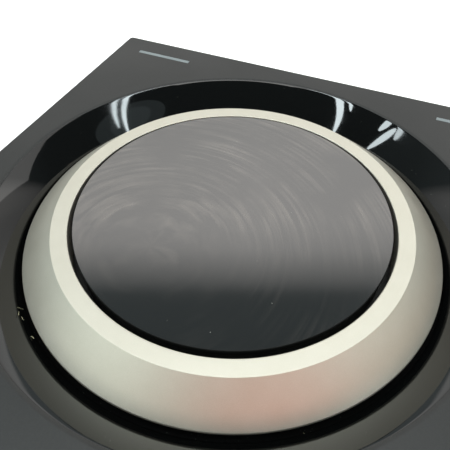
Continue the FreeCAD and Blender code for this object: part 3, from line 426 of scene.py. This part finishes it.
tree.links.new(add(tree, "Math", {0: smeared, 1: dust}, operation="ADD"), shader.inputs["Roughness"])
bump = add(tree, "Bump", {"Height": grease, "Strength": 0.10, "Distance": 0.002 * MM})
tree.links.new(bump, shader.inputs["Normal"])
print("wipe arcs and dust")

# %% [markdown]
# ## Felt
#
# The floor of the gap round the ring is a washer of black wool felt, which damps the ring. Felt is a mat of fibres, so
# light sinks in and the edge glows a little at a low angle. The shader's sheen does that glow, and a stretched noise
# gives the mat its threads. Its two blacks are darker than the felt's own colour, because they also hold painted shade
# for the deep gap. Pale dust has settled on it, and real fibres are added later as geometry.

# %% The felt's finish
tree, shader, place = finish("black_felt_with_painted_shade", "black_felt", Roughness=0.95, Sheen_Weight=0.05, Sheen_Roughness=0.5,
                             Specular_IOR_Level=0.1)
threads = add(tree, "TexNoise", {"Vector": place, "Scale": per_mm(0.35), "Detail": 6.0, "Roughness": 0.75,
                                 "Distortion": 1.5})
# the felt's own black, darkened further with painted shade of the deep gap
felt_black_and_painted_shade = add(tree, "Mix", {0: add(tree, "MapRange", {0: threads, 1: 0.35, 2: 0.75}), 6: paint("#040404"),
                              7: paint("#0F0F0F")}, out=2, data_type="RGBA")
dust = specks(tree, place, 0.45, 0.16, 0.72)
tree.links.new(add(tree, "Mix", {0: dust, 6: felt_black_and_painted_shade, 7: paint("#3E413C")}, out=2, data_type="RGBA"),
               shader.inputs["Base Color"])
tree.links.new(add(tree, "Bump", {"Height": threads, "Strength": 0.9, "Distance": 0.12 * MM}), shader.inputs["Normal"])
print("felt fibres 0.35 mm")

# %% [markdown]
# ## Milky light pipes
#
# The pale bars near the corners are the ends of light pipes, moulded in acrylic with a white pigment that scatters the
# lamp's light. Unlit they look like frosted grey glass. Light enters them and comes back out a little way off, which is
# what subsurface scattering is, with a radius near half a millimetre.

# %% The light pipes' finish
tree, shader, place = finish("milky_acrylic", "milky_light_plastic", IOR=1.49, Subsurface_Weight=0.4,
                             Subsurface_Radius=(0.6 * MM, 0.6 * MM, 0.55 * MM), Subsurface_Scale=1.0)
pigment = add(tree, "TexNoise", {"Vector": place, "Scale": per_mm(0.5), "Detail": 4.0})
surface(tree, shader, (pigment, "#7F888A", "#929B9D"), (pigment, 0.34, 0.46), (pigment, 0.2, 0.01))
print("pigment 0.5 mm")

# %% [markdown]
# ## Unfilled black plastic inside
#
# The pedestal, the tower, the encoder's body and the connectors are plain black ABS and nylon from machined moulds.
# Nobody polishes a mould for an inner part, so the milling marks of the tool show as fine parallel lines about 0.3 mm
# apart, with a slight flow pattern where the plastic met.

# %% Inner plastic
tree, shader, place = finish("machined_mould_black_nylon", "inner_black_plastic", IOR=1.53)
mill = add(tree, "TexWave", {"Vector": place, "Scale": bands_per_mm(0.3), "Distortion": 0.8, "Detail": 2.0}, out="Fac")
flow = add(tree, "TexNoise", {"Vector": place, "Scale": per_mm(6.0), "Detail": 4.0, "Distortion": 2.0})
surface(tree, shader, (flow, "#161717", "#232424"), (flow, 0.38, 0.52), (mill, 0.25, 0.01))
print("milling marks 0.3 mm apart")

# %% [markdown]
# ## White acetal
#
# The glide washers, the ring's carrier and the pinion are acetal, a white, slightly greasy plastic that slides well. It
# is a little translucent, so its edges glow, and turning leaves it with a soft sheen and no real gloss.

# %% Acetal
tree, shader, place = finish("moulded_white_acetal", "white_acetal", IOR=1.48, Subsurface_Weight=0.25,
                             Subsurface_Radius=(0.9 * MM, 0.85 * MM, 0.8 * MM), Subsurface_Scale=1.0)
swirl = add(tree, "TexNoise", {"Vector": place, "Scale": per_mm(3.0), "Detail": 5.0, "Distortion": 1.2})
surface(tree, shader, (swirl, "#D9D8D2", "#ECEBE6"), (swirl, 0.30, 0.42), (swirl, 0.1, 0.03))
print("swirl 3 mm")

# %% [markdown]
# ## Rubber feet
#
# The feet are moulded black rubber with chalky bloom and fine pores. Rubber scatters light near its surface, so it is
# dark grey and never truly black, and where it has rubbed on a desk it picks up pale dust.

# %% Rubber
tree, shader, place = finish("moulded_black_rubber", "foot_rubber", IOR=1.5, Specular_IOR_Level=0.35,
                             Sheen_Weight=0.15, Sheen_Roughness=0.6)
pores = add(tree, "TexVoronoi", {"Vector": place, "Scale": per_mm(0.35)})
bloom = add(tree, "TexNoise", {"Vector": place, "Scale": per_mm(2.5), "Detail": 6.0})
surface(tree, shader, (add(tree, "MapRange", {0: bloom, 1: 0.4, 2: 0.75}), "#191919", "#2D2C2A"),
        (bloom, 0.75, 0.9), (pores, 0.4, 0.03))
print("pores 0.35 mm")

# %% [markdown]
# ## Circuit boards
#
# A board is glass cloth in resin, with copper tracks under a green lacquer. The cloth's weave shows as a grid about
# 0.5 mm apart, and the tracks as raised lines that are a lighter green. Drawing real tracks would be another craft, so
# a pattern of square cells stands in: the edges of the cells run in straight lines and turn at right angles, as tracks
# do.

# %% Boards
tree, shader, place = finish("green_lacquered_glass_cloth", "circuit_board", IOR=1.54, Coat_Weight=0.5,
                             Coat_Roughness=0.18)
weave = add(tree, "TexChecker", {"Vector": place, "Scale": per_mm(0.5)}, out="Fac")
tracks = add(tree, "TexVoronoi", {"Vector": place, "Scale": per_mm(3.2), "Randomness": 0.75}, distance="MANHATTAN")
copper = add(tree, "Math", {0: add(tree, "Math", {0: add(tree, "Math", {0: tracks, 1: 9.0}, operation="MULTIPLY"),
                                                  1: 1.0}, operation="MODULO"), 1: 0.62}, operation="GREATER_THAN")
lacquer = add(tree, "Mix", {0: copper, 6: paint("#12442B"), 7: paint("#1F6A3E")}, out=2, data_type="RGBA")
tree.links.new(lacquer, shader.inputs["Base Color"])
tree.links.new(add(tree, "MapRange", {0: weave, 1: 0.0, 2: 1.0, 3: 0.33, 4: 0.38}), shader.inputs["Roughness"])
height = add(tree, "Math", {0: copper, 1: add(tree, "Math", {0: weave, 1: 0.12}, operation="MULTIPLY")},
             operation="ADD")
tree.links.new(add(tree, "Bump", {"Height": height, "Strength": 0.5, "Distance": 0.035 * MM}), shader.inputs["Normal"])
print("weave 0.5 mm, copper 0.035 mm high")

# %% [markdown]
# ## Chips
#
# Chips are black epoxy filled with ground glass, pressed in a mould that was blasted. They look dark grey and dry, with
# a speckle of about 0.05 mm, and they carry no printing here.

# %% Chip epoxy
tree, shader, place = finish("glass_filled_black_epoxy", "chip_epoxy", IOR=1.55)
filler = add(tree, "TexNoise", {"Vector": place, "Scale": per_mm(0.06), "Detail": 2.0})
surface(tree, shader, (filler, "#1A1A1B", "#353536"), (filler, 0.55, 0.75), (filler, 0.35, 0.008))
print("filler 0.06 mm")

# %% [markdown]
# ## Ferrite
#
# The inductors are pressed ferrite: a hard, dark, grey-brown ceramic with a slight sparkle, because the sintered grains
# are tiny crystals. It isn't a metal to the eye, only a shiny stone.

# %% Ferrite
tree, shader, place = finish("sintered_ferrite", "ferrite", IOR=2.2)
crystals = add(tree, "TexVoronoi", {"Vector": place, "Scale": per_mm(0.08)}, out=None)
sparkle = add(tree, "SeparateXYZ", {0: crystals.outputs["Color"]})
tree.links.new(add(tree, "Mix", {0: sparkle, 6: paint("#26231F"), 7: paint("#3C3833")}, out=2, data_type="RGBA"),
               shader.inputs["Base Color"])
tree.links.new(add(tree, "MapRange", {0: sparkle, 3: 0.35, 4: 0.65}), shader.inputs["Roughness"])
tree.links.new(add(tree, "Bump", {"Height": crystals.outputs["Distance"], "Strength": 0.3, "Distance": 0.01 * MM}),
               shader.inputs["Normal"])
print("crystals 0.08 mm")

# %% [markdown]
# ## Drawn aluminium cans
#
# A capacitor's can is drawn from thin aluminium in one stroke, which leaves fine lines along its height. Stretching a
# noise along Z gives those lines, and the roughness follows them, so the can shines in a streak.

# %% Capacitor cans
tree, shader, place = finish("drawn_aluminium_can", "can_aluminium", Metallic=1.0)
pulled = add(tree, "Mapping", {"Vector": place, "Scale": (1.0, 1.0, 0.04)})
lines = add(tree, "TexNoise", {"Vector": pulled, "Scale": per_mm(0.12), "Detail": 4.0})
surface(tree, shader, (lines, "#C4C4C2", "#DADAD8"), (lines, 0.20, 0.36), (lines, 0.15, 0.01))
print("draw lines 0.12 mm")

# %% [markdown]
# ## Zinc-plated screws
#
# The screws are steel with a bright zinc plate, tumbled in a barrel with all their neighbours. The plate is bluish and
# crystalline, and the tumbling leaves small dents and dull patches.

# %% Zinc-plated steel
tree, shader, place = finish("zinc_plated_steel", "zinc_steel", Metallic=1.0)
spangle = add(tree, "TexVoronoi", {"Vector": place, "Scale": per_mm(0.3)}, out=None)
flake = add(tree, "SeparateXYZ", {0: spangle.outputs["Color"]})
knocks = add(tree, "TexNoise", {"Vector": place, "Scale": per_mm(0.7), "Detail": 4.0})
surface(tree, shader, (flake, "#AEB2B6", "#C9CDD1"), (knocks, 0.24, 0.45), (knocks, 0.25, 0.03))
print("spangle 0.3 mm")

# %% [markdown]
# ## Blackened screws
#
# The case screws are black-oxidised steel. The oxide is a dark, thin skin, slightly blue and slightly oily, that has
# rubbed through to bare steel in a few spots.

# %% Black-oxidised steel
tree, shader, place = finish("black_oxidised_steel", "black_steel", Metallic=1.0)
rubbed = add(tree, "TexNoise", {"Vector": place, "Scale": per_mm(0.9), "Detail": 6.0, "Roughness": 0.7})
bare = add(tree, "MapRange", {0: rubbed, 1: 0.60, 2: 0.74})
surface(tree, shader, (bare, "#26282B", "#85888C"), (rubbed, 0.32, 0.5), (rubbed, 0.2, 0.02))
print("worn patches 0.9 mm")

# %% [markdown]
# ## Spring wire
#
# The coil springs are drawn from tinned steel wire. Wire is polished by the die that it's pulled through, so it is
# brighter than the screws, with a few long scratches.

# %% Spring wire
tree, shader, place = finish("drawn_spring_wire", "spring_steel", Metallic=1.0)
die = add(tree, "TexNoise", {"Vector": place, "Scale": per_mm(0.15), "Detail": 3.0, "Distortion": 3.0})
surface(tree, shader, (die, "#B4B2AE", "#D2D0CC"), (die, 0.15, 0.3), (die, 0.1, 0.01))
print("die marks 0.15 mm")

# %% [markdown]
# ## Gold-plated contacts
#
# The contacts are phosphor bronze with a thin gold plate. Gold's colour is strong in the reflection itself, and rolled
# strip keeps fine lines along its length.

# %% Contacts
tree, shader, place = finish("gold_plated_bronze", "contact_bronze", Metallic=1.0)
strip = add(tree, "Mapping", {"Vector": place, "Scale": (0.05, 1.0, 1.0)})
rolled = add(tree, "TexNoise", {"Vector": strip, "Scale": per_mm(0.08), "Detail": 3.0})
surface(tree, shader, (rolled, "#C79A45", "#E3BC6A"), (rolled, 0.18, 0.32), (rolled, 0.15, 0.006))
print("rolling lines 0.08 mm")

# %% [markdown]
# ## Folded shield steel
#
# The data socket's shell is nickel-plated sheet, rolled and then folded. The rolling lines run along the socket, and
# plugs scratch its mouth.

# %% Socket shield
tree, shader, place = finish("nickel_plated_sheet", "shield_steel", Metallic=1.0)
sheet_lines = add(tree, "Mapping", {"Vector": place, "Scale": (1.0, 0.04, 1.0)})
brushed = add(tree, "TexNoise", {"Vector": sheet_lines, "Scale": per_mm(0.10), "Detail": 4.0})
surface(tree, shader, (brushed, "#BDBAB2", "#D6D3CB"), (brushed, 0.2, 0.4), (brushed, 0.2, 0.008))
print("rolling lines 0.10 mm")

# %% [markdown]
# ## Die-cast shaft
#
# The encoder's shaft is die-cast zinc, left as it comes from the die: dull, grey, with a mottled skin where the metal
# chilled.

# %% Die-cast zinc
tree, shader, place = finish("die_cast_zinc", "zinc_diecast", Metallic=1.0)
chill = add(tree, "TexNoise", {"Vector": place, "Scale": per_mm(0.8), "Detail": 6.0, "Distortion": 1.0})
surface(tree, shader, (chill, "#8C8D8E", "#ABACAD"), (chill, 0.4, 0.6), (chill, 0.3, 0.03))
print("chill marks 0.8 mm")

# %% [markdown]
# ## Clear lamp resin
#
# Each small lamp is a chip under a yellowish drop of phosphor and clear resin. It is soft-edged, slightly see-through
# and very glossy.

# %% Lamp resin
tree, shader, place = finish("phosphor_filled_resin", "lamp_epoxy", IOR=1.53, Subsurface_Weight=0.5,
                             Subsurface_Radius=(0.3 * MM, 0.25 * MM, 0.1 * MM), Subsurface_Scale=1.0)
phosphor = add(tree, "TexNoise", {"Vector": place, "Scale": per_mm(0.2), "Detail": 4.0})
surface(tree, shader, (phosphor, "#D9C36A", "#EFE3AC"), (phosphor, 0.12, 0.25), (phosphor, 0.15, 0.02))
print("phosphor 0.2 mm")

# %% [markdown]
# ## Ribbon cable
#
# The display's ribbon is two polyester films with flat copper conductors between them, 1 mm apart. The conductors show
# through as coppery stripes, and each one lifts the film a little.

# %% Ribbon
tree, shader, place = finish("polyester_ribbon", "ribbon_polyester", IOR=1.6, Coat_Weight=0.6, Coat_Roughness=0.12)
wires = add(tree, "TexWave", {"Vector": place, "Scale": bands_per_mm(1.0)}, out="Fac", bands_direction="X")
conductor = add(tree, "MapRange", {0: wires, 1: 0.45, 2: 0.6})
film = add(tree, "TexNoise", {"Vector": place, "Scale": per_mm(1.5), "Detail": 3.0})
surface(tree, shader, (conductor, "#D8D3C8", "#B0835A"), (film, 0.25, 0.38), (wires, 0.4, 0.05))
print("conductors 1 mm apart")

# %% [markdown]
# ## Adhesive tape
#
# The glass is held by a ring of black foam tape. Foam is full of open cells about 0.15 mm across, and it drinks light.

# %% Foam tape
tree, shader, place = finish("black_foam_tape", "adhesive_tape", Roughness=0.9, Specular_IOR_Level=0.25)
foam = add(tree, "TexVoronoi", {"Vector": place, "Scale": per_mm(0.15)})
tree.links.new(add(tree, "Mix", {0: foam, 6: paint("#0A0A0A"), 7: paint("#1B1B1A")}, out=2, data_type="RGBA"),
               shader.inputs["Base Color"])
tree.links.new(add(tree, "Bump", {"Height": foam, "Strength": 0.8, "Distance": 0.05 * MM}), shader.inputs["Normal"])
print("foam cells 0.15 mm")

# %% [markdown]
# ## Blank rating label
#
# Under the base is a silver polyester label. A real one is printed, but this one stays blank. Metallised film shows a
# fine even tooth, and the glue under it leaves shallow ripples.

# %% Label film
tree, shader, place = finish("metallised_label_film", "printed_label", Metallic=0.85)
tooth = add(tree, "TexNoise", {"Vector": place, "Scale": per_mm(0.12), "Detail": 2.0})
ripple = add(tree, "TexNoise", {"Vector": place, "Scale": per_mm(5.0), "Detail": 2.0})
surface(tree, shader, (tooth, "#A9ABAC", "#BFC1C2"), (tooth, 0.38, 0.5), (ripple, 0.25, 0.15))
print("tooth 0.12 mm, ripple 5 mm")

# %% [markdown]
# ## Putting the finishes on the measured pieces
#
# Each measured piece comes in with one material slot, named for the finish that the record gives it. So the finishes
# go on by that name, and a piece that is added to the model later gets its finish without a change here.

# %% Dress the measured pieces
for name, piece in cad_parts.items():
    for place_in_list, old in enumerate(piece.data.materials):
        piece.data.materials[place_in_list] = FINISHES[old.name.split(".")[0]]
print("dressed", len(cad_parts), "pieces in", len(FINISHES), "finishes")

# %% [markdown]
# ## Turning round pieces
#
# The ring, the dish and the glass are all turned shapes, and a lathe is the right way to think of them: draw half the
# section once, and spin it about the axis. The measured solids are cut into flat facets about 1 mm long, which shows in
# a mirror finish, so these three are turned again in 320 steps. Corners are then rounded with the bevel tool, as a
# lathe hand breaks an edge. Weighted normals keep the flats flat next to the small roundings, and an edge that turns
# by more than 50 degrees stays sharp, so no highlight bleeds over it.

# %% The lathe
AROUND, SHARP_OVER = 320, 50


def turn_on_lathe(section, steps=AROUND):
    """Spins a closed section, given as (radius, height) points, about Z."""
    bm = bmesh.new()
    points = [bm.verts.new((r, 0.0, z)) for r, z in section]
    edges = [bm.edges.new((a, b)) for a, b in zip(points, points[1:] + points[:1])]
    bmesh.ops.spin(bm, geom=points + edges, cent=(0, 0, 0), axis=(0, 0, 1), angle=2 * math.pi, steps=steps,
                   use_merge=True)
    bmesh.ops.remove_doubles(bm, verts=bm.verts, dist=1e-7)
    bmesh.ops.recalc_face_normals(bm, faces=bm.faces)
    return bm


def break_edge(bm, radius_at, height_at, rounding, angle, segments=5):
    """Rounds one circular corner. angle is how far the surface turns there, in degrees."""
    def on_circle(vert):
        return abs(math.hypot(vert.co.x, vert.co.y) - radius_at) < 2e-6 and abs(vert.co.z - height_at) < 2e-6
    circle = [e for e in bm.edges if on_circle(e.verts[0]) and on_circle(e.verts[1])]
    bmesh.ops.bevel(bm, geom=circle, offset=rounding * math.tan(math.radians(angle) / 2), segments=segments,
                    profile=0.5, affect="EDGES", material=-1)
    return len(circle)


def off_the_lathe(bm, name, body, replaced, slot_name):
    """Turns the finished shape into a piece that stands for a measured one and moves with its body."""
    mesh = bpy.data.meshes.new(name)
    bm.to_mesh(mesh)
    bm.free()
    mesh.shade_smooth()
    mesh.set_sharp_from_angle(angle=math.radians(SHARP_OVER))
    piece = bpy.data.objects.new(name, mesh)
    bpy.context.collection.objects.link(piece)
    mesh.materials.append(FINISHES[slot_name])
    weighted = piece.modifiers.new("weighted_normals", "WEIGHTED_NORMAL")
    weighted.mode, weighted.weight, weighted.keep_sharp = "FACE_AREA", 50, True
    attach(piece, body)
    if replaced:
        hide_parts(replaced)
    print(name, len(mesh.polygons), "faces, top", round(max(v.co.z for v in mesh.vertices) / MM, 2), "mm")
    return piece


print("lathe ready")

# %% [markdown]
# ## The ring
#
# The ring's section is a flat land, a cone that falls away from it at about 39 degrees and a short upright lip. It is
# hollow underneath, so that it is light. The bosses that its four screws bite in aren't turned here. The corner between
# land and cone is kept nearly sharp: a ring is held by that edge.

# %% Turn the ring
bore, rim = reach("touch_glass") + 0.8 * MM, reach("control_ring")
land, lip = bore + 2.8 * MM, foot("control_ring") + 0.45 * MM
ring_top, ring_foot, wall = top("control_ring"), foot("control_ring"), 1.6 * MM
fall = (ring_top - lip) / (rim - land)
under = wall * math.hypot(1.0, fall)
hollow_in = bore + 2.2 * MM
hollow_top = lip + (rim - hollow_in - 0.4 * MM) * fall - under
hollow_out = rim - (ring_foot - lip + under) / fall
ring_section = [(bore, ring_foot), (bore, ring_top), (land, ring_top), (rim, lip), (rim, ring_foot),
                (hollow_out, ring_foot), (hollow_in + 0.4 * MM, hollow_top), (hollow_in, hollow_top),
                (hollow_in, ring_foot)]
slope_angle = math.degrees(math.atan(fall))
bm = turn_on_lathe(ring_section)
break_edge(bm, bore, ring_top, 0.20 * MM, 90)
break_edge(bm, land, ring_top, 0.12 * MM, slope_angle)
break_edge(bm, rim, lip, 0.30 * MM, 90 - slope_angle)
break_edge(bm, rim, ring_foot, 0.15 * MM, 90)
break_edge(bm, bore, ring_foot, 0.15 * MM, 90)
dial_ring = off_the_lathe(bm, "dial_ring", "ring", "control_ring", "satin_aluminium")
print("cone falls at", round(slope_angle, 1), "degrees")

# %% [markdown]
# ## A rose card for the ring alone
#
# Whoever bends over the dial is near it, and the warm light off a hand or a face shows in the front of the ring as a
# rose patch. The rose panel at the front right stands for it. It would tint the top of the case as well when that is
# seen from behind, so the panel is linked to the ring and lights nothing else.

# %% Link the rose panel to the ring
ring_only = bpy.data.collections.new("lit_by_the_rose_card")
ring_only.objects.link(dial_ring)
bpy.data.objects["front_right_fill"].light_linking.receiver_collection = ring_only

# %% [markdown]
# ## The dish
#
# The dish rises from the felt in one slope that bows out very slightly, rolls over a soft edge, and ends in a level lip
# with the case's top. That bow and that roll decide where each window shows, so they matter more than they look: the
# slope is divided, and each division is pushed out along the slope's normal by its share of the bow. Only the slope is
# polished. The level lip and the upper half of the roll were spark-eroded with the case's texture, so their faces get
# the case's finish. The lip is drawn a hair wider and higher than the seat it lies in, because a seam of 0.05 mm that
# is lit from the side looks far wider than it is.

# %% Turn the dish
lip_out, dish_top, floor_level = reach("dish_bezel") + 0.10 * MM, top("dish_bezel") + 0.004 * MM, top("damping_felt")
dish_in = reach("damping_felt")
crest, dish_low = reach("dish_bezel") - 0.85 * MM, dish_top - 5.7 * MM
bow, thick = 0.30 * MM, 1.5 * MM
run, climb = crest - dish_in, dish_top - dish_low
length = math.hypot(run, climb)
slope, divisions = [], 12
for i in range(divisions + 1):
    share = i / divisions
    push = bow * 4 * share * (1 - share)
    slope.append((dish_in + run * share - push * climb / length, dish_low + climb * share + push * run / length))
under_r, under_z = dish_in + thick * climb / length, dish_low - thick * run / length
seat, neck = dish_top - 0.95 * MM, lip_out - 1.45 * MM
skirt, tray_in, tray_top = dish_in + 1.2 * MM, dish_in - 4.4 * MM, floor_level - 0.8 * MM
bezel_foot = foot("dish_bezel")
dish_section = slope + [(lip_out, dish_top), (lip_out, seat), (neck, seat),
                        (neck, under_z + (neck - under_r) * climb / run),
                        (skirt, under_z + (skirt - under_r) * climb / run), (skirt, bezel_foot),
                        (tray_in, bezel_foot), (tray_in, tray_top), (dish_in, tray_top)]
bm = turn_on_lathe(dish_section)
lean = math.degrees(math.atan2(climb, run) - 2 * math.atan2(2 * bow, length))
break_edge(bm, crest, dish_top, 1.3 * MM, lean, segments=10)
break_edge(bm, dish_in, dish_low, 0.12 * MM, 37.0, segments=3)
dish = off_the_lathe(bm, "gloss_dish", "housing", "dish_bezel", "gloss_black_dish")
dish.data.materials.append(FINISHES["matte_black_case"])
texture_starts, roll_depth = 0.88, 0.3 * MM
for face in dish.data.polygons:
    if face.normal.z > texture_starts and face.center.z > dish_top - roll_depth:
        face.material_index = 1
print("slope climbs at", round(math.degrees(math.atan2(climb, run)), 1), "degrees, and at its crest", round(lean, 1))

# %% [markdown]
# ## The glass disc
#
# The glass is a ground disc with a pencil edge, a small round that the grinding wheel leaves after the disc is cut. A
# circle is filled, pushed up to its thickness and its two edges are rounded. Only the flat faces are polished. The edge
# keeps the wheel's fine tooth and the black print that runs over it, so it shows no bright line.

# %% Grind the glass
glass_r, glass_low, glass_top = reach("touch_glass"), foot("touch_glass"), top("touch_glass")
bm = bmesh.new()
bmesh.ops.create_circle(bm, cap_ends=True, segments=AROUND, radius=glass_r,
                        matrix=Matrix.Translation((0, 0, glass_low)))
pushed = bmesh.ops.extrude_face_region(bm, geom=bm.faces[:])
bmesh.ops.translate(bm, verts=[v for v in pushed["geom"] if isinstance(v, bmesh.types.BMVert)],
                    vec=(0, 0, glass_top - glass_low))
bmesh.ops.recalc_face_normals(bm, faces=bm.faces)
break_edge(bm, glass_r, glass_top, 0.12 * MM, 90, segments=5)
break_edge(bm, glass_r, glass_low, 0.10 * MM, 90, segments=2)
glass_disc = off_the_lathe(bm, "glass_disc", "housing", "touch_glass", "black_glass")
tree, shader, place = finish("ground_glass_edge", "glass_edge", IOR=1.5, Specular_IOR_Level=0.25)
wheel = add(tree, "TexNoise", {"Vector": place, "Scale": per_mm(0.08), "Detail": 2.0})
surface(tree, shader, (wheel, "#040505", "#0B0C0C"), (wheel, 0.45, 0.6), (wheel, 0.3, 0.005))
glass_disc.data.materials.append(FINISHES["glass_edge"])
polished = 0.999
for face in glass_disc.data.polygons:
    if abs(face.normal.z) < polished:
        face.material_index = 1
print("ground edge 0.12 mm, wheel marks 0.08 mm")

# %% [markdown]
# ## The felt washer and its fibres
#
# Felt that is cut in a washer has a hairy top. The washer itself is turned with a fine grid and pushed up and down by
# noise, and on it stand 1500 short fibres, each a thin three-sided hair. The fibres are spun from the same
# random seed on every run. Particle hair would look the same, but hair doesn't leave Blender with the model.

# %% Lay the felt
felt_out, felt_top, felt_low = reach("damping_felt"), top("damping_felt"), foot("damping_felt")
felt_in = felt_out - 4.0 * MM
bm = turn_on_lathe([(felt_in, felt_low), (felt_in, felt_top), (felt_out, felt_top), (felt_out, felt_low)], steps=480)
across_edges = [e for e in bm.edges if abs(e.verts[0].co.z - felt_top) < 1e-7 and abs(e.verts[1].co.z - felt_top) < 1e-7
                and abs(e.calc_length() - (felt_out - felt_in)) < 1e-6]
bmesh.ops.subdivide_edges(bm, edges=across_edges, cuts=10, use_grid_fill=True)
nap, lump = 0.07 * MM, 0.5 * MM
for vert in bm.verts:
    if vert.co.z > felt_top - 1e-6:
        vert.co.z = felt_top - nap * (0.5 + 0.5 * noise.noise(vert.co / lump))
off_the_lathe(bm, "felt_washer", "housing", "damping_felt", "black_felt")

# %% Plant the fibres
dice = random.Random(7)
fibres = 1500
bm = bmesh.new()
for _ in range(fibres):
    angle, r = dice.uniform(0, 2 * math.pi), dice.uniform(felt_in + 2.2 * MM, felt_out - 0.1 * MM)
    lean = Matrix.Rotation(dice.uniform(-1.3, 1.3), 4, "X") @ Matrix.Rotation(dice.uniform(-1.3, 1.3), 4, "Y")
    long = dice.uniform(0.25, 0.75) * MM
    spot = Matrix.Translation((r * math.cos(angle), r * math.sin(angle), felt_top - 0.06 * MM))
    bmesh.ops.create_cone(bm, cap_ends=True, segments=3, radius1=0.012 * MM, radius2=0.003 * MM, depth=long,
                          matrix=spot @ lean @ Matrix.Translation((0, 0, long / 2)))
off_the_lathe(bm, "felt_fibres", "housing", None, "black_felt")

# %% [markdown]
# ## Lint in the gap
#
# A pale carpet fibre or two has fallen in the gap and caught on its edge. They're what tells the eye how deep and how
# black the gap is. Each is a thin bent rod: a few short cones end to end, each turned a little from the last.

# %% Drop the lint
tree, shader, place = finish("straw_coloured_lint", "lint", Roughness=0.9, Sheen_Weight=0.3)
tuft = add(tree, "TexNoise", {"Vector": place, "Scale": per_mm(0.1), "Detail": 3.0})
tree.links.new(add(tree, "Mix", {0: tuft, 6: paint("#8E8A66"), 7: paint("#D8D3AE")}, out=2, data_type="RGBA"),
               shader.inputs["Base Color"])
tree.links.new(add(tree, "Bump", {"Height": tuft, "Strength": 0.6, "Distance": 0.02 * MM}), shader.inputs["Normal"])
bm = bmesh.new()
for angle, r, height, long, wide in [(-130.5, 37.6, 21.9, 0.8, 0.06), (-129.0, 37.7, 22.0, 0.6, 0.08),
                                     (-127.5, 37.5, 21.8, 0.6, 0.06), (-121.0, 37.2, 21.4, 0.35, 0.12),
                                     (-151.0, 36.9, 20.1, 0.22, 0.06), (-68.0, 36.9, 19.9, 0.2, 0.04),
                                     (-52.0, 36.8, 19.9, 0.2, 0.05), (-96.0, 36.9, 19.9, 0.15, 0.04)]:
    a = math.radians(angle)
    at = Vector((r * MM * math.cos(a), r * MM * math.sin(a), height * MM))
    way = Vector((dice.uniform(-1, 1), dice.uniform(-1, 1), dice.uniform(-0.2, 0.5))).normalized()
    for _ in range(4):
        bend = way.to_track_quat("Z", "Y").to_matrix().to_4x4()
        bmesh.ops.create_cone(bm, cap_ends=True, segments=6, radius1=wide / 2 * MM, radius2=wide / 2.4 * MM,
                              depth=long / 2 * MM, matrix=Matrix.Translation(at) @ bend)
        at = at + way * long / 2.4 * MM
        way = (way + Vector([dice.uniform(-0.6, 0.6) for _ in range(3)])).normalized()
lint = off_the_lathe(bm, "lint", "housing", None, "black_felt")
lint.data.materials[0] = FINISHES["lint"]
